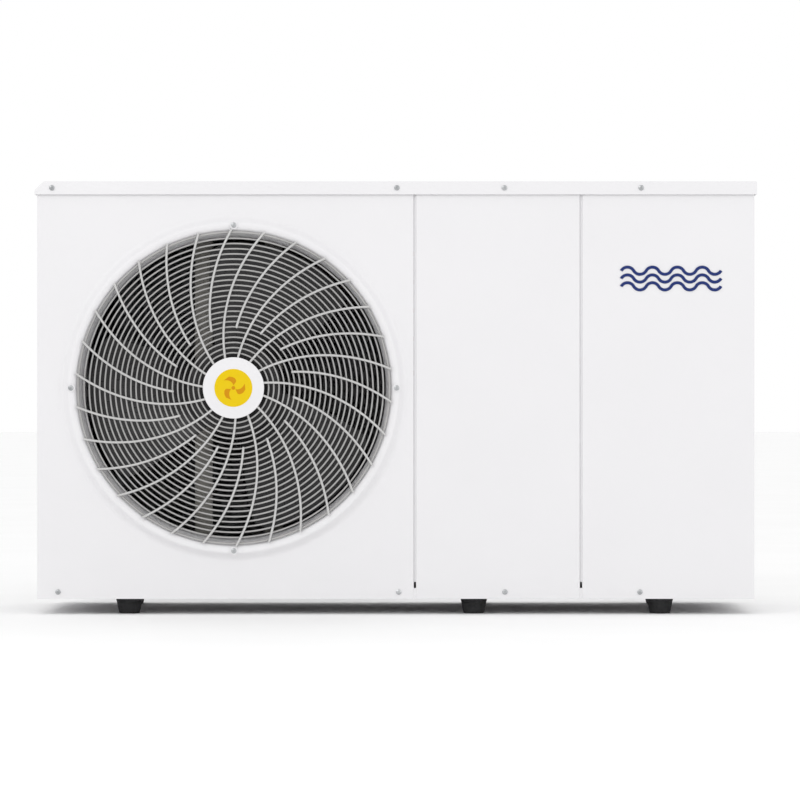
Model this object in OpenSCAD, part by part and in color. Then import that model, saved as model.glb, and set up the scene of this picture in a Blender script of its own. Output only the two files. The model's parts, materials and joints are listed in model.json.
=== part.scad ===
// Heat pump unit for pool water: sheet-metal case, axial fan, coil, compressor and water exchanger.
// Millimetres. +X is right seen from the front, +Y is to the rear, +Z is up.
// The origin is the middle of the footprint, on the ground.

/* [Case] */
// Width over the side panels
case_w = 1196; // [1150:1:1240]
// Depth over the front and rear panels
case_d = 430; // [420:1:460]
// Height from the underside of the base pan to the top of the cover
case_h = 696; // [680:1:740]
// Thickness of the case sheet
sheet = 1.2; // [1:0.1:1.5]
// How far the cover stands over the panels on each side
lid_overhang = 4; // [3:0.5:6]
// Height of the cover's turned-down edge
lid_edge_h = 22; // [18:1:30]
// Size of the sloped facet along the cover's left edge
lid_facet = 15; // [5:1:18]
// Height of the base pan's upturned edge
pan_edge_h = 18; // [16:1:24]
// Depth of the folded edges behind each panel
fold = 15; // [10:1:18]
// Middle of the gap between the fan panel and the middle panel
gap1_x = 32; // [20:1:40]
// Middle of the gap between the middle panel and the right panel
gap2_x = 309; // [280:1:330]
// Width of the gaps between the front panels
gap_w = 3.6; // [2:0.2:5]

/* [Feet] */
// Height of the rubber feet
foot_h = 26; // [20:1:40]
// Diameter of a foot where it meets the pan
foot_top_d = 45; // [40:1:50]
// Diameter of a foot on the ground
foot_bottom_d = 35; // [30:1:40]
// Places of the three front feet along X
foot_x = [-447, 131, 443];
// How much wider apart the rear feet stand
rear_foot_spread = 1.032; // [1:0.004:1.04]
// Distance of the feet from the front and rear panels
foot_inset = 48; // [40:1:70]

/* [Fan] */
// Fan centre along X
fan_x = -269.6; // [-280:0.2:-260]
// Fan centre above the ground
fan_z = 377.6; // [360:0.2:390]
// Diameter over the blade tips
fan_d = 490; // [460:1:494]
// Diameter of the fan hub
hub_d = 160; // [140:1:176]
// Number of fan blades
blades = 3; // [2:1:4]
// Thickness of a fan blade in its middle
blade_t = 4; // [3:0.5:6]
// Radius of the pressed ring's crest around the opening
rim_r = 273; // [270:1:276]
// How far the crest stands out of the panel
rim_h = 11; // [8:0.5:14]
// Radius of the throat that the fan turns in
throat_r = 253; // [250:0.5:256]

/* [Guard] */
// Radius of the smallest guard ring
ring_r0 = 58.3; // [56:0.1:60]
// Distance from ring to ring
ring_pitch = 8.667; // [8.6:0.001:8.7]
// Number of thin rings
rings = 23; // [20:1:23]
// Wire diameter of the thin rings
ring_wire = 2.8; // [2:0.1:3.4]
// Wire diameter of the outer ring
outer_wire = 4; // [3:0.1:4.4]
// Wire diameter of the curved spokes
spoke_wire = 3.8; // [3:0.1:4.4]
// Number of spokes at the edge, half of them short
spokes = 30; // [20:10:30]
// How far a spoke turns for each millimetre of radius, in degrees
spoke_twist = 0.126; // [0.08:0.002:0.15]
// Rise of the guard from its edge to its middle
dome_h = 10; // [4:1:16]
// Diameter of the round hub plate
hub_plate_d = 102; // [90:1:106]
// Diameter of the round label
label_d = 63; // [50:1:80]

/* [Water side] */
// Outer diameter of the pool pipe that the unions take
pool_pipe_d = 50; // [50:0.5:50.5]
// How far the unions stand out of the rear panel
union_reach = 64; // [60:1:70]
// Water connections along X
water_x = 480; // [470:1:490]
// Height of the lower connection, the inlet
inlet_z = 132; // [125:1:140]
// Height of the upper connection, the outlet
outlet_z = 402; // [395:1:410]

/* [Hidden] */
$fn = 64;
thin = 0.1;
hairline = 0.02;
label_t = 0.6;
hub_plate_t = 2;
plate_gap = 0.05;
guard_reach = rim_h + thin + spoke_wire + dome_h + plate_gap + hub_plate_t + label_t;
y_mid = (guard_reach - union_reach) / 2;
front_y = -case_d / 2 + y_mid;
rear_y = case_d / 2 + y_mid;
half_w = case_w / 2;
pan_z = foot_h;
top_z = foot_h + case_h;
lid_low_z = top_z - lid_edge_h;
floor_t = 1.5;
seam = 0.6;
floor_z = pan_z + floor_t;
pan_in = sheet + 0.2;
inner_top_z = top_z - sheet - 0.2;
panel_top_z = inner_top_z - 0.2;
under_facet_z = top_z - lid_facet - 4;
wall_in = sheet + 0.2 + floor_t;

// Screws
screw_head_d = 9;
screw_head_t = 2.4;
screw_d = 4;
screw_hole_d = 4.4;
low_screw_z = pan_z + 11.5;
lid_screw_z = top_z - 11;
lid_screw_x = [-573, 2, 181, 409];
low_screw_x = [-563, 5, 182, 407];

// Front panels
gap1_l = gap1_x - gap_w / 2;
gap1_r = gap1_x + gap_w / 2;
gap2_l = gap2_x - gap_w / 2;
gap2_r = gap2_x + gap_w / 2;
lip_y = 3;
lip_from_z = 28;

// Side and rear panels
handle_y = -20;
handle_z = 590;
cover_y = [-150, 30];
cover_z = [330, 500];
gland_r = 10;
gland_x = [150, 200];
gland_z = 600;

// Fan and guard, in a frame whose Z points out of the front panel
tip_r = fan_d / 2;
hub_r = hub_d / 2;
blade_rows = 14;
blade_steps = 12;
rim_foot_w = 18;
rim_foot_r = rim_r + rim_foot_w;
rim_steps = 8;
rim_inner_w = rim_r - throat_r;
rim_round_d = 24;
throat_end = -68;
guard_edge_r = 270;
dome_r = (guard_edge_r * guard_edge_r + dome_h * dome_h) / (2 * dome_h);
spoke_edge_z = rim_h + thin + spoke_wire / 2;
outer_ring_r = 259.2;
short_from_ring = 5;
guard_screw_r = guard_edge_r + 1;
tab_d = 14;

// Depths along the fan axis, negative behind the panel
hub_front = -20;
hub_rear = -112;
boss_front = -36;
boss_r = 18;
shaft_r = 6;
nut_t = 8;
motor_front = -126;
motor_rear = -206;
motor_r = 64;
bearing_r = 16;
bearing_t = 11;
stator_in_r = 36.5;
bracket_z = motor_rear - 3;
rail_x = 60;
rail_w = 30;
rail_d = 20;
ear_r = 74;

// Coil, seen from above
coil_t = 44;
coil_left_x = -half_w + 16;
coil_rear_y = rear_y - 18;
coil_bend_r = 120;
coil_end_x = 8;
coil_front_y = front_y + 46;
coil_mid_r = coil_bend_r - coil_t / 2;
coil_leg = coil_rear_y - coil_bend_r - coil_front_y;
fin_pitch = 8;
fin_t = 1.4;
coil_z0 = floor_z + 8;
coil_h = 648;
tube_d = 9.5;
tube_pitch = 25;
tube_rows = [coil_t / 4, coil_t * 3 / 4];
bends = 13;
plate_t = 1.5;

// Compressor room
wall_x = 34;
rear_split_x = coil_end_x - 12;
comp_x = 190;
comp_y = -70;
comp_r = 62;
comp_z0 = 62;
comp_z1 = 340;
comp_skirt_r = 45;
mount_r = 88;
grommet_h = 26;
acc_x = comp_x + 103;
acc_r = 34;
acc_z0 = 118;
acc_z1 = 286;
valve_y = 95;
valve_z = 470;
valve_r = 13;
port_gap = 30;
liquid_x = 100;
liquid_y = coil_rear_y - coil_t / 2;
hot_pipe_d = 12.7;
gas_pipe_d = 16;
liquid_pipe_d = 9.5;

// Water exchanger
shell_x = water_x;
shell_y = 30;
shell_r = 80;
shell_wall = 6;
shell_z0 = 58;
shell_z1 = 460;
helix_r = 55;
helix_z0 = 95;
helix_pitch = 26;
helix_sleeve = 5;
half_turns = 25;
helix_d = 12.7;
helix_leg_d = 12;
port_out_r = 30;
port_y = shell_y + shell_r + 14;
water_pipe_r = pool_pipe_d / 2;
water_bore_r = 21;
stub_r = 30;
nut_r = 40;
nut_in_r = stub_r + 0.6;
nut_len = 34;
tee_y = 156;
tee_h = 48;
tee_bore_r = 13.5;
switch_z0 = inlet_z + tee_h + 0.05;
pivot_z = inlet_z + tee_h + 12;
pin_r = 2;

// Control box
box_x0 = 70;
box_x1 = 560;
box_y0 = front_y + 22;
box_y1 = box_y0 + 120;
box_z0 = 500;
box_z1 = 680;
box_t = 1.5;

// Colours
panel_white = [0.94, 0.94, 0.945];
wire_white = [0.93, 0.93, 0.92];
zinc = [0.74, 0.76, 0.78];
steel = [0.6, 0.61, 0.63];
black_rubber = [0.08, 0.08, 0.09];
fan_grey = [0.16, 0.16, 0.18];
copper = [0.78, 0.45, 0.3];
brass = [0.8, 0.68, 0.4];
pipe_grey = [0.5, 0.52, 0.55];

// ---- shared shapes ----

// Turns +Z to +Y, for things that go straight back
module back() {
    rotate([-90, 0, 0])
        children();
}

// Turns +Z to +X
module right() {
    rotate([0, 90, 0])
        children();
}

// Puts children in the fan frame: X right, Y up, Z out of the front panel
module at_fan() {
    translate([fan_x, front_y, fan_z])
        rotate([90, 0, 0])
            children();
}

// A box between two corners
module span(low, high) {
    translate(low)
        cube(high - low);
}

// A tube along +Z
module tube(outer_r, inner_r, length) {
    difference() {
        cylinder(r = outer_r, h = length);
        translate([0, 0, -1])
            cylinder(r = inner_r, h = length + 2);
    }
}

// A pan-head screw along +Z: the head's top is at z = 0 and the shank goes down
module screw(length = 12) {
    difference() {
        translate([0, 0, -screw_head_t])
            cylinder(d = screw_head_d, h = screw_head_t);
        for (turn = [0, 90])
            rotate([0, 0, turn])
                translate([-2.4, -0.5, -1.2])
                    cube([4.8, 1, 2]);
    }
    translate([0, 0, -screw_head_t - length])
        cylinder(d = screw_d, h = length);
}

// A hexagon nut or head along +Z
module hexagon(across, height) {
    cylinder(r = across / sqrt(3), h = height, $fn = 6);
}

function unit(v) = v / norm(v);

// A round pipe through points joined by square corners, each with a bend of the given radius
module pipe(points, d, bend = 20) {
    last = len(points) - 1;
    for (i = [0:last - 1]) {
        way = unit(points[i + 1] - points[i]);
        from = points[i] + (i == 0 ? [0, 0, 0] : way * bend);
        to = points[i + 1] - (i == last - 1 ? [0, 0, 0] : way * bend);
        stick(from, to, d);
    }
    if (last > 1)
        for (i = [1:last - 1])
            elbow(points[i], unit(points[i] - points[i - 1]), unit(points[i + 1] - points[i]), d, bend);
}

// A round bar between two points
module stick(from, to, d) {
    way = to - from;
    length = norm(way);
    translate(from)
        rotate([0, acos(way.z / length), atan2(way.y, way.x)])
            cylinder(d = d, h = length);
}

// A quarter bend around a corner point, coming in along u and leaving along v
module elbow(corner, u, v, d, bend) {
    w = cross(u, v);
    middle = corner - u * bend + v * bend;
    multmatrix([
        [-v.x, u.x, w.x, middle.x],
        [-v.y, u.y, w.y, middle.y],
        [-v.z, u.z, w.z, middle.z],
        [0, 0, 0, 1]
    ])
        rotate_extrude(angle = 90)
            translate([bend, 0])
                circle(d = d);
}

// ---- case ----

// A front panel from x0 to x1 with folded-back side edges and a folded top edge.
// A fold that passes in front of the pan's upturned edge stops above it.
// A narrow lip on the left fold closes the gap to the next panel.
module front_panel(x0, x1) {
    deep = front_y + fold;
    over_pan = pan_z + pan_edge_h + 1;
    span([x0, front_y, pan_z], [x1, front_y + sheet, panel_top_z]);
    span([x0, front_y, x0 > -half_w ? over_pan : pan_z], [x0 + sheet, deep, panel_top_z]);
    span([x1 - sheet, front_y, x1 < half_w ? over_pan : pan_z], [x1, deep, panel_top_z]);
    span([x0, front_y, panel_top_z - sheet], [x1, deep, panel_top_z]);
    if (x0 > -half_w)
        translate([x0 - gap_w + 0.3, front_y + lip_y, pan_z + lip_from_z])
            cube([gap_w - 0.2, sheet, panel_top_z - pan_z - lip_from_z]);
}

// Screw holes through the front of a panel that spans x0 to x1
module front_screw_holes(x0, x1) {
    places = [
        for (x = lid_screw_x) [x, lid_screw_z],
        for (x = low_screw_x) [x, low_screw_z]
    ];
    for (p = places)
        if (p[0] > x0 && p[0] < x1)
            translate([p[0], front_y - 2, p[1]])
                back()
                    cylinder(d = screw_hole_d, h = 6);
}

// Centre line of the pressed ring and the throat, as [radius, height out of the panel]
function rim_line() = concat(
    [[rim_foot_r + 5, 0]],
    [
        for (i = [0:rim_steps - 1])
            let (s = i / rim_steps)
                [rim_foot_r - rim_foot_w * s, rim_h * pow(sin(90 * pow(s, 1.5)), 2)]
    ],
    [for (a = [0:15:90]) [rim_r - rim_inner_w * sin(a), rim_h - rim_round_d * (1 - cos(a))]],
    [[throat_r, throat_end]]
);

function line_normal(line, i) =
    let (
        before = line[max(i - 1, 0)],
        after = line[min(i + 1, len(line) - 1)],
        way = unit(after - before)
    )
    [-way[1], way[0]];

// The pressed ring and throat as one sheet turned about the fan axis
module rim_and_throat() {
    line = rim_line();
    inner = [for (i = [len(line) - 1:-1:0]) line[i] + line_normal(line, i) * sheet];
    rotate_extrude()
        polygon(concat(line, inner));
}

module front_fan_panel() {
    color(panel_white) {
        difference() {
            front_panel(-half_w, gap1_l);
            front_screw_holes(-half_w, gap1_l);
            span(
                [-half_w - 1, front_y - 1, under_facet_z],
                [-half_w + lid_facet + 2, front_y + fold + 1, top_z]
            );
            at_fan()
                translate([0, 0, -5])
                    cylinder(r = rim_foot_r + 2, h = 10);
        }
        difference() {
            at_fan()
                rim_and_throat();
            at_fan()
                for (a = [0:90:270])
                    rotate([0, 0, a])
                        translate([guard_screw_r, 0, 0])
                            cylinder(d = screw_hole_d, h = 30);
        }
    }
}

module front_middle_panel() {
    color(panel_white)
        difference() {
            front_panel(gap1_r, gap2_l);
            front_screw_holes(gap1_r, gap2_l);
        }
}

module front_right_panel() {
    color(panel_white)
        difference() {
            front_panel(gap2_r, half_w);
            front_screw_holes(gap2_r, half_w);
        }
}

// Section of the cover seen from the front: square on the right, a sloped facet on the left
module lid_section(w, top, low, facet) {
    polygon([[-w, low], [-w, top - facet], [-w + facet, top], [w, top], [w, low]]);
}

module top_cover() {
    w = half_w + lid_overhang;
    y0 = front_y - lid_overhang;
    y1 = rear_y + lid_overhang;
    inner_facet = lid_facet + 0.414 * sheet - sheet;
    color(panel_white)
        difference() {
            translate([0, y1, 0])
                rotate([90, 0, 0])
                    linear_extrude(y1 - y0)
                        lid_section(w, top_z, lid_low_z, lid_facet);
            translate([0, y1 - sheet, 0])
                rotate([90, 0, 0])
                    linear_extrude(y1 - y0 - 2 * sheet)
                        lid_section(w - sheet, top_z - sheet, lid_low_z - 1, inner_facet);
            for (x = lid_screw_x)
                for (y = [y0 - 2, y1 - 4])
                    translate([x, y, lid_screw_z])
                        back()
                            cylinder(d = screw_hole_d, h = 6);
        }
}

module base_pan() {
    x = half_w - pan_in;
    y0 = front_y + pan_in;
    y1 = rear_y - pan_in;
    rib_r = 5;
    color(panel_white)
        difference() {
            union() {
                difference() {
                    span([-x, y0, pan_z], [x, y1, pan_z + pan_edge_h]);
                    span([-x + floor_t, y0 + floor_t, floor_z], [x - floor_t, y1 - floor_t, pan_z + 50]);
                }
                for (y = [-120, 90])
                    translate([-500, y, floor_z])
                        intersection() {
                            right()
                                cylinder(r = rib_r, h = 420);
                            span([0, -rib_r, -thin], [420, rib_r, rib_r]);
                        }
            }
            for (y = [-120, 90])
                translate([-500 + floor_t, y, floor_z])
                    right()
                        cylinder(r = rib_r - floor_t, h = 420 - 2 * floor_t);
            foot_places()
                translate([0, 0, pan_z - 1])
                    cylinder(r = 4.2, h = 8);
            translate([-300, coil_rear_y - coil_t - 24, pan_z - 1])
                cylinder(d = 25, h = 8);
            at_compressor_feet()
                translate([0, 0, pan_z - 1])
                    cylinder(r = 4.2, h = 8);
            for (x = low_screw_x)
                translate([x, front_y, low_screw_z])
                    back()
                        cylinder(d = screw_hole_d, h = 8);
        }
}

// Sheet grille on the coil side: three columns of slots
module left_side_grille() {
    y0 = front_y + fold + seam;
    slot_w = 106;
    color(panel_white)
        difference() {
            union() {
                span([-half_w, y0, pan_z], [-half_w + sheet, rear_y, under_facet_z]);
                span([-half_w, rear_y - sheet, pan_z], [-half_w + 60, rear_y, under_facet_z]);
                span([-half_w + lid_facet + 2, rear_y - sheet, pan_z], [-half_w + 60, rear_y, panel_top_z]);
            }
            for (column = [0:2])
                for (z = [92:18:650])
                    span([-half_w - 1, y0 + 26 + column * (slot_w + 20), z],
                        [-half_w + 2, y0 + 26 + column * (slot_w + 20) + slot_w, z + 9]);
            rear_screw_holes();
        }
}

// Holes for the cover's rear screws
module rear_screw_holes() {
    for (x = lid_screw_x)
        translate([x, rear_y - 4, lid_screw_z])
            back()
                cylinder(d = screw_hole_d, h = 6);
}

// A flat outline with round ends, long along X
module stadium(length, width) {
    square([length - width, width], center = true);
    for (side = [-1, 1])
        translate([side * (length - width) / 2, 0])
            circle(d = width);
}

module right_side_panel() {
    y0 = front_y + fold + seam;
    y1 = rear_y - fold - seam;
    color(panel_white)
        difference() {
            span([half_w - sheet, y0, pan_z], [half_w, y1, panel_top_z]);
            terminal_cover_places()
                translate([0, 0, -4])
                    cylinder(d = screw_hole_d, h = 6);
            translate([half_w - 3, handle_y, handle_z])
                right()
                    rotate([0, 0, 90])
                        linear_extrude(6)
                            stadium(120, 46);
            span(
                [half_w - 3, cover_y[0] + 35, cover_z[0] + 30],
                [half_w + 2, cover_y[1] - 35, cover_z[1] - 30]
            );
            for (z = [90:14:230])
                span([half_w - 3, 0, z], [half_w + 2, 90, z + 5]);
        }
}

module terminal_cover() {
    color(panel_white)
        difference() {
            span([half_w, cover_y[0], cover_z[0]], [half_w + sheet, cover_y[1], cover_z[1]]);
            terminal_cover_places()
                translate([0, 0, -3])
                    cylinder(d = screw_hole_d, h = 6);
        }
}

// The four corners of the terminal cover, with +Z pointing out of it
module terminal_cover_places() {
    for (y = [cover_y[0] + 9, cover_y[1] - 9])
        for (z = [cover_z[0] + 9, cover_z[1] - 9])
            translate([half_w + sheet, y, z])
                right()
                    children();
}

// Moulded cup that a hand reaches into
module side_handle() {
    color([0.2, 0.2, 0.22])
        translate([half_w, handle_y, handle_z])
            right()
                rotate([0, 0, 90])
                    difference() {
                        union() {
                            linear_extrude(2.5)
                                stadium(134, 60);
                            translate([0, 0, -30])
                                linear_extrude(31)
                                    stadium(119, 45);
                        }
                        translate([0, 0, -28])
                            linear_extrude(40)
                                stadium(115, 41);
                    }
}

module rear_right_panel() {
    x0 = rear_split_x + 2;
    color(panel_white)
        difference() {
            union() {
                span([x0, rear_y - sheet, pan_z], [half_w, rear_y, panel_top_z]);
                span([half_w - sheet, rear_y - fold, pan_z], [half_w, rear_y, panel_top_z]);
                span([x0, rear_y - 10, pan_z + pan_edge_h + 1], [x0 + sheet, rear_y, panel_top_z]);
            }
            rear_screw_holes();
            for (z = [inlet_z, outlet_z])
                translate([water_x, rear_y - 4, z])
                    back()
                        cylinder(r = stub_r + 0.5, h = 8);
            gland_places()
                translate([0, 0, -4])
                    cylinder(r = gland_r + 0.2, h = 8);
            for (z = [250:14:350])
                span([120, rear_y - 4, z], [300, rear_y + 2, z + 5]);
        }
}

// The gland holes in the rear panel, with +Z pointing to the rear
module gland_places() {
    for (x = gland_x)
        translate([x, rear_y, gland_z])
            back()
                children();
}

module cable_glands() {
    color([0.12, 0.12, 0.13])
        gland_places()
            difference() {
                union() {
                    translate([0, 0, -14])
                        cylinder(r = gland_r, h = 16);
                    translate([0, 0, -sheet - 4.2])
                        hexagon(26, 4);
                    translate([0, 0, thin])
                        hexagon(26, 6);
                    cylinder(r = 11, h = 16);
                    translate([0, 0, 16])
                        cylinder(r1 = 11, r2 = 9, h = 6);
                }
                translate([0, 0, -20])
                    cylinder(r = 6.5, h = 60);
            }
}

// Welded wire grid behind the coil
module rear_coil_guard() {
    x0 = -half_w + 62;
    x1 = rear_split_x;
    wire = 3;
    z0 = pan_z + pan_edge_h + 4;
    z1 = lid_low_z + 10;
    y_out = rear_y - sheet - wire / 2 - 0.2;
    color(wire_white) {
        for (i = [0:10])
            translate([x0, y_out, z0 + 8 + i * (z1 - z0 - 16) / 10])
                right()
                    cylinder(d = wire, h = x1 - x0);
        for (i = [0:14])
            translate([x0 + 6 + i * (x1 - x0 - 12) / 14, y_out - wire - hairline, z0])
                cylinder(d = wire, h = z1 - z0);
    }
}

// Sheet wall between the fan space and the compressor room
module partition_plate() {
    y0 = front_y + fold + 1.5;
    y1 = rear_y - 20;
    color(zinc)
        difference() {
            union() {
                span([wall_x - 0.6, y0, floor_z], [wall_x + 0.6, y1, panel_top_z - 4]);
                span([wall_x - 0.6, y0, floor_z], [wall_x + 14, y1, floor_z + sheet]);
                span([wall_x - 0.6, y0, panel_top_z - 4 - sheet], [wall_x + 14, y1, panel_top_z - 4]);
            }
            span([wall_x - 2, liquid_y - 14, 390], [wall_x + 2, liquid_y + 14, 655]);
        }
}

// Angle posts in the four corners, inside the panels
module corner_posts() {
    leg = 24;
    x = half_w - wall_in - thin;
    ya = front_y + wall_in + thin;
    yb = rear_y - wall_in - 6;
    z1 = lid_low_z - 4;
    color(zinc) {
        for (y = [[ya, 1], [yb, -1]])
            post([x, y[0], floor_z], [-1, y[1]], leg, z1);
        post([-x, ya, floor_z], [1, 1], leg, z1);
        post([-x, yb, floor_z], [1, -1], leg, z1);
    }
}

// One angle post whose outer corner is at the given place
module post(corner, way, leg, z1) {
    translate(corner)
        mirror([way[0] < 0 ? 1 : 0, 0, 0])
            mirror([0, way[1] < 0 ? 1 : 0, 0]) {
                cube([leg, sheet, z1 - corner.z]);
                cube([sheet, leg, z1 - corner.z]);
            }
}

// ---- feet ----

module foot_places() {
    for (x = foot_x) {
        translate([x, front_y + foot_inset, 0])
            children();
        translate([x * rear_foot_spread, rear_y - foot_inset, 0])
            children();
    }
}

module rubber_feet() {
    color(black_rubber)
        foot_places()
            difference() {
                cylinder(d1 = foot_bottom_d, d2 = foot_top_d, h = foot_h);
                translate([0, 0, -1])
                    cylinder(r = 9, h = 13);
                cylinder(r = 4.2, h = foot_h + 1);
            }
}

module foot_bolts() {
    color(steel)
        foot_places() {
            translate([0, 0, 12 - 5.5])
                hexagon(13, 5.5);
            translate([0, 0, 11])
                cylinder(r = 4, h = floor_z + 7 - 11);
            translate([0, 0, floor_z])
                difference() {
                    hexagon(13, 6.5);
                    translate([0, 0, -1])
                        cylinder(r = 4, h = 9);
                }
        }
}

// ---- screws on the case ----

// Screws along the front at the given places, heads resting at depth y
module front_screws(places_x, z, y) {
    for (x = places_x)
        translate([x, y - screw_head_t, z])
            rotate([90, 0, 0])
                screw();
}

module lid_screws() {
    color(steel) {
        front_screws(lid_screw_x, lid_screw_z, front_y - lid_overhang);
        for (x = lid_screw_x)
            translate([x, rear_y + lid_overhang + screw_head_t, lid_screw_z])
                back()
                    screw(8);
    }
}

module panel_screws() {
    color(steel) {
        front_screws(low_screw_x, low_screw_z, front_y);
        terminal_cover_places()
            translate([0, 0, screw_head_t])
                screw(6);
    }
}

// Three stacked wave lines, each a row of equal arcs that overlap by a degree
module wave_badge() {
    wave_r = 12;
    waves = 4;
    line_w = 5;
    arc = 120;
    chord = 2 * wave_r * sin(arc / 2);
    drop = wave_r * cos(arc / 2);
    first_x = 459 - (waves - 0.5) * chord;
    color([0.1, 0.25, 0.6])
        for (row = [-1:1])
            for (i = [0:2 * waves - 1])
                translate([first_x + i * chord, front_y, 560 + row * 13 + (i % 2 ? drop : -drop)])
                    rotate([90, 0, 0])
                        rotate([0, 0, (i % 2 ? 180 : 0) + 89 - arc / 2])
                            rotate_extrude(angle = arc + 2)
                                translate([wave_r - line_w / 2, 0])
                                    square([line_w, 1]);
}

// ---- guard ----

// Height of the spokes' centre line out of the panel at a radius
function dome(r) = spoke_edge_z + sqrt(dome_r * dome_r - r * r) - (dome_r - dome_h);

function spoke_point(r, end_angle) =
    let (a = end_angle + spoke_twist * (guard_edge_r - r))
    [r * cos(a), r * sin(a), dome(r)];

// Centre of the circle through three points in space
function circle_centre(a, b, c) =
    let (
        u = a - c,
        v = b - c,
        w = cross(u, v)
    )
    c + cross((u * u) * v - (v * v) * u, w) / (2 * (w * w));

// A wire bent to the circle through three points
module bent_wire(a, b, c, d) {
    middle = circle_centre(a, b, c);
    ex = unit(a - middle);
    turn = cross(a - middle, c - middle);
    ez = unit(turn);
    ey = cross(ez, ex);
    angle = atan2(norm(turn), (a - middle) * (c - middle));
    multmatrix([
        [ex.x, ey.x, ez.x, middle.x],
        [ex.y, ey.y, ez.y, middle.y],
        [ex.z, ey.z, ez.z, middle.z],
        [0, 0, 0, 1]
    ])
        rotate_extrude(angle = angle, $fn = 180)
            translate([norm(a - middle), 0])
                circle(d = d, $fn = 24);
}

// A ring of wire with an eight-sided section, under the spokes
module ring(r, wire) {
    translate([0, 0, dome(r) - (spoke_wire + wire) / 2 - hairline])
        rotate_extrude($fn = 120)
            translate([r, 0])
                circle(d = wire, $fn = 8);
}

module guard_rings() {
    color(wire_white)
        at_fan() {
            for (i = [0:rings - 1])
                ring(ring_r0 + i * ring_pitch, ring_wire);
            ring(outer_ring_r, outer_wire);
        }
}

module guard_spokes() {
    color(wire_white)
        at_fan()
            for (i = [0:spokes - 1]) {
                end_angle = 90 + i * 360 / spokes;
                long = i % 2 == 1;
                r0 = long ? hub_plate_d / 2 - 12 : ring_r0 + short_from_ring * ring_pitch;
                r1 = guard_screw_r - tab_d / 2 - 0.2;
                bent_wire(
                    spoke_point(r1, end_angle),
                    spoke_point((r0 + r1) / 2, end_angle),
                    spoke_point(r0, end_angle),
                    spoke_wire
                );
            }
}

// The hub plate, and four small plates on the guard's edge that take the screws
module guard_plates() {
    plate_z = dome(0) + spoke_wire / 2 + plate_gap;
    color(wire_white)
        at_fan() {
            translate([0, 0, plate_z])
                cylinder(d = hub_plate_d, h = hub_plate_t);
            for (a = [0:90:270])
                rotate([0, 0, a])
                    translate([guard_screw_r, 0, rim_h + thin])
                        tube(tab_d / 2, screw_hole_d / 2, 1.2);
            for (a = [0, 180])
                rotate([0, 0, a])
                    span(
                        [outer_ring_r - 1, -5, rim_h + thin + 0.85],
                        [guard_screw_r - 5, 5, rim_h + thin + 2]
                    );
        }
}

module guard_label() {
    color([0.94, 0.84, 0.06])
        at_fan()
            translate([0, 0, dome(0) + spoke_wire / 2 + plate_gap + hub_plate_t])
                cylinder(d = label_d, h = label_t);
}

module guard_screws() {
    color(steel)
        at_fan()
            for (a = [0:90:270])
                rotate([0, 0, a])
                    translate([guard_screw_r, 0, rim_h + thin + 1.2 + screw_head_t])
                        screw(12);
}

// ---- fan and motor, in the fan frame ----

// Angle, radius and height of a point on a blade: t runs from hub to tip, u across the blade
function blade_angle(t, u) =
    let (root = (1 - t) * (1 - t))
    69 + 5.5 * root + (u - 0.5) * (62 + 18 * root) + 7 * t * (1 - t) * (2 * u - 1);

function blade_height(t, u) =
    -68 + (u - 0.5) * (84 - 22 * t) + 9 * (1 - t * 0.6) * sin(180 * u);

// Half of the blade's thickness, thin along all its free edges
function blade_half(t, u) = blade_t / 2 * (0.3 + 0.7 * sqrt(sin(180 * u)) * (1 - 0.5 * t * t));

function blade_point(i, j, side) =
    let (
        t = i / blade_rows,
        u = j / blade_steps,
        r = hub_r - 1.5 + t * (tip_r - hub_r + 1.5),
        a = blade_angle(t, u)
    )
    [r * cos(a), r * sin(a), blade_height(t, u) + side * blade_half(t, u)];

module blade() {
    n = blade_steps + 1;
    m = blade_rows + 1;
    points = [
        for (side = [1, -1], i = [0:blade_rows], j = [0:blade_steps]) blade_point(i, j, side)
    ];
    top = [
        for (i = [0:blade_rows - 1], j = [0:blade_steps - 1])
            each quad(i * n + j, i * n + j + 1, (i + 1) * n + j + 1, (i + 1) * n + j)
    ];
    low = [for (f = top) [f[2] + m * n, f[1] + m * n, f[0] + m * n]];
    rim = concat(
        [for (j = [0:n - 1]) j],
        [for (i = [1:m - 1]) i * n + n - 1],
        [for (j = [n - 2:-1:0]) (m - 1) * n + j],
        [for (i = [m - 2:-1:1]) i * n]
    );
    edge = [
        for (k = [0:len(rim) - 1])
            let (a = rim[k], b = rim[(k + 1) % len(rim)])
                each quad(b, a, a + m * n, b + m * n)
    ];
    polyhedron(points, concat(top, low, edge));
}

function quad(a, b, c, d) = [[a, b, c], [a, c, d]];

module fan_rotor() {
    color(fan_grey)
        at_fan() {
            difference() {
                translate([0, 0, hub_rear])
                    cylinder(r = hub_r, h = hub_front - hub_rear);
                translate([0, 0, hub_rear - 1])
                    tube(hub_r - 3, boss_r, hub_front - hub_rear - 2.5);
                translate([0, 0, boss_front])
                    cylinder(r = 14, h = 40);
                translate([0, 0, hub_rear - 1])
                    cylinder(r = shaft_r + hairline, h = 120);
            }
            for (a = [0:60:300])
                rotate([0, 0, a])
                    span([boss_r - 1, -1.5, -70], [hub_r - 2, 1.5, hub_front - 3]);
            for (i = [0:blades - 1])
                rotate([0, 0, i * 360 / blades])
                    blade();
        }
}

module fan_nut() {
    color(steel)
        at_fan()
            translate([0, 0, boss_front])
                difference() {
                    union() {
                        hexagon(19, nut_t);
                        cylinder(r = 12, h = 1.6);
                    }
                    translate([0, 0, -1])
                        cylinder(r = shaft_r, h = nut_t + 2);
                }
}

module motor_shaft() {
    color(steel)
        at_fan()
            translate([0, 0, motor_rear + 2])
                cylinder(r = shaft_r, h = boss_front + nut_t + 4 - motor_rear - 2);
}

module motor_rotor_core() {
    color([0.45, 0.46, 0.48])
        at_fan()
            translate([0, 0, motor_rear + 22])
                tube(stator_in_r - 0.6, shaft_r, 36);
}

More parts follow.
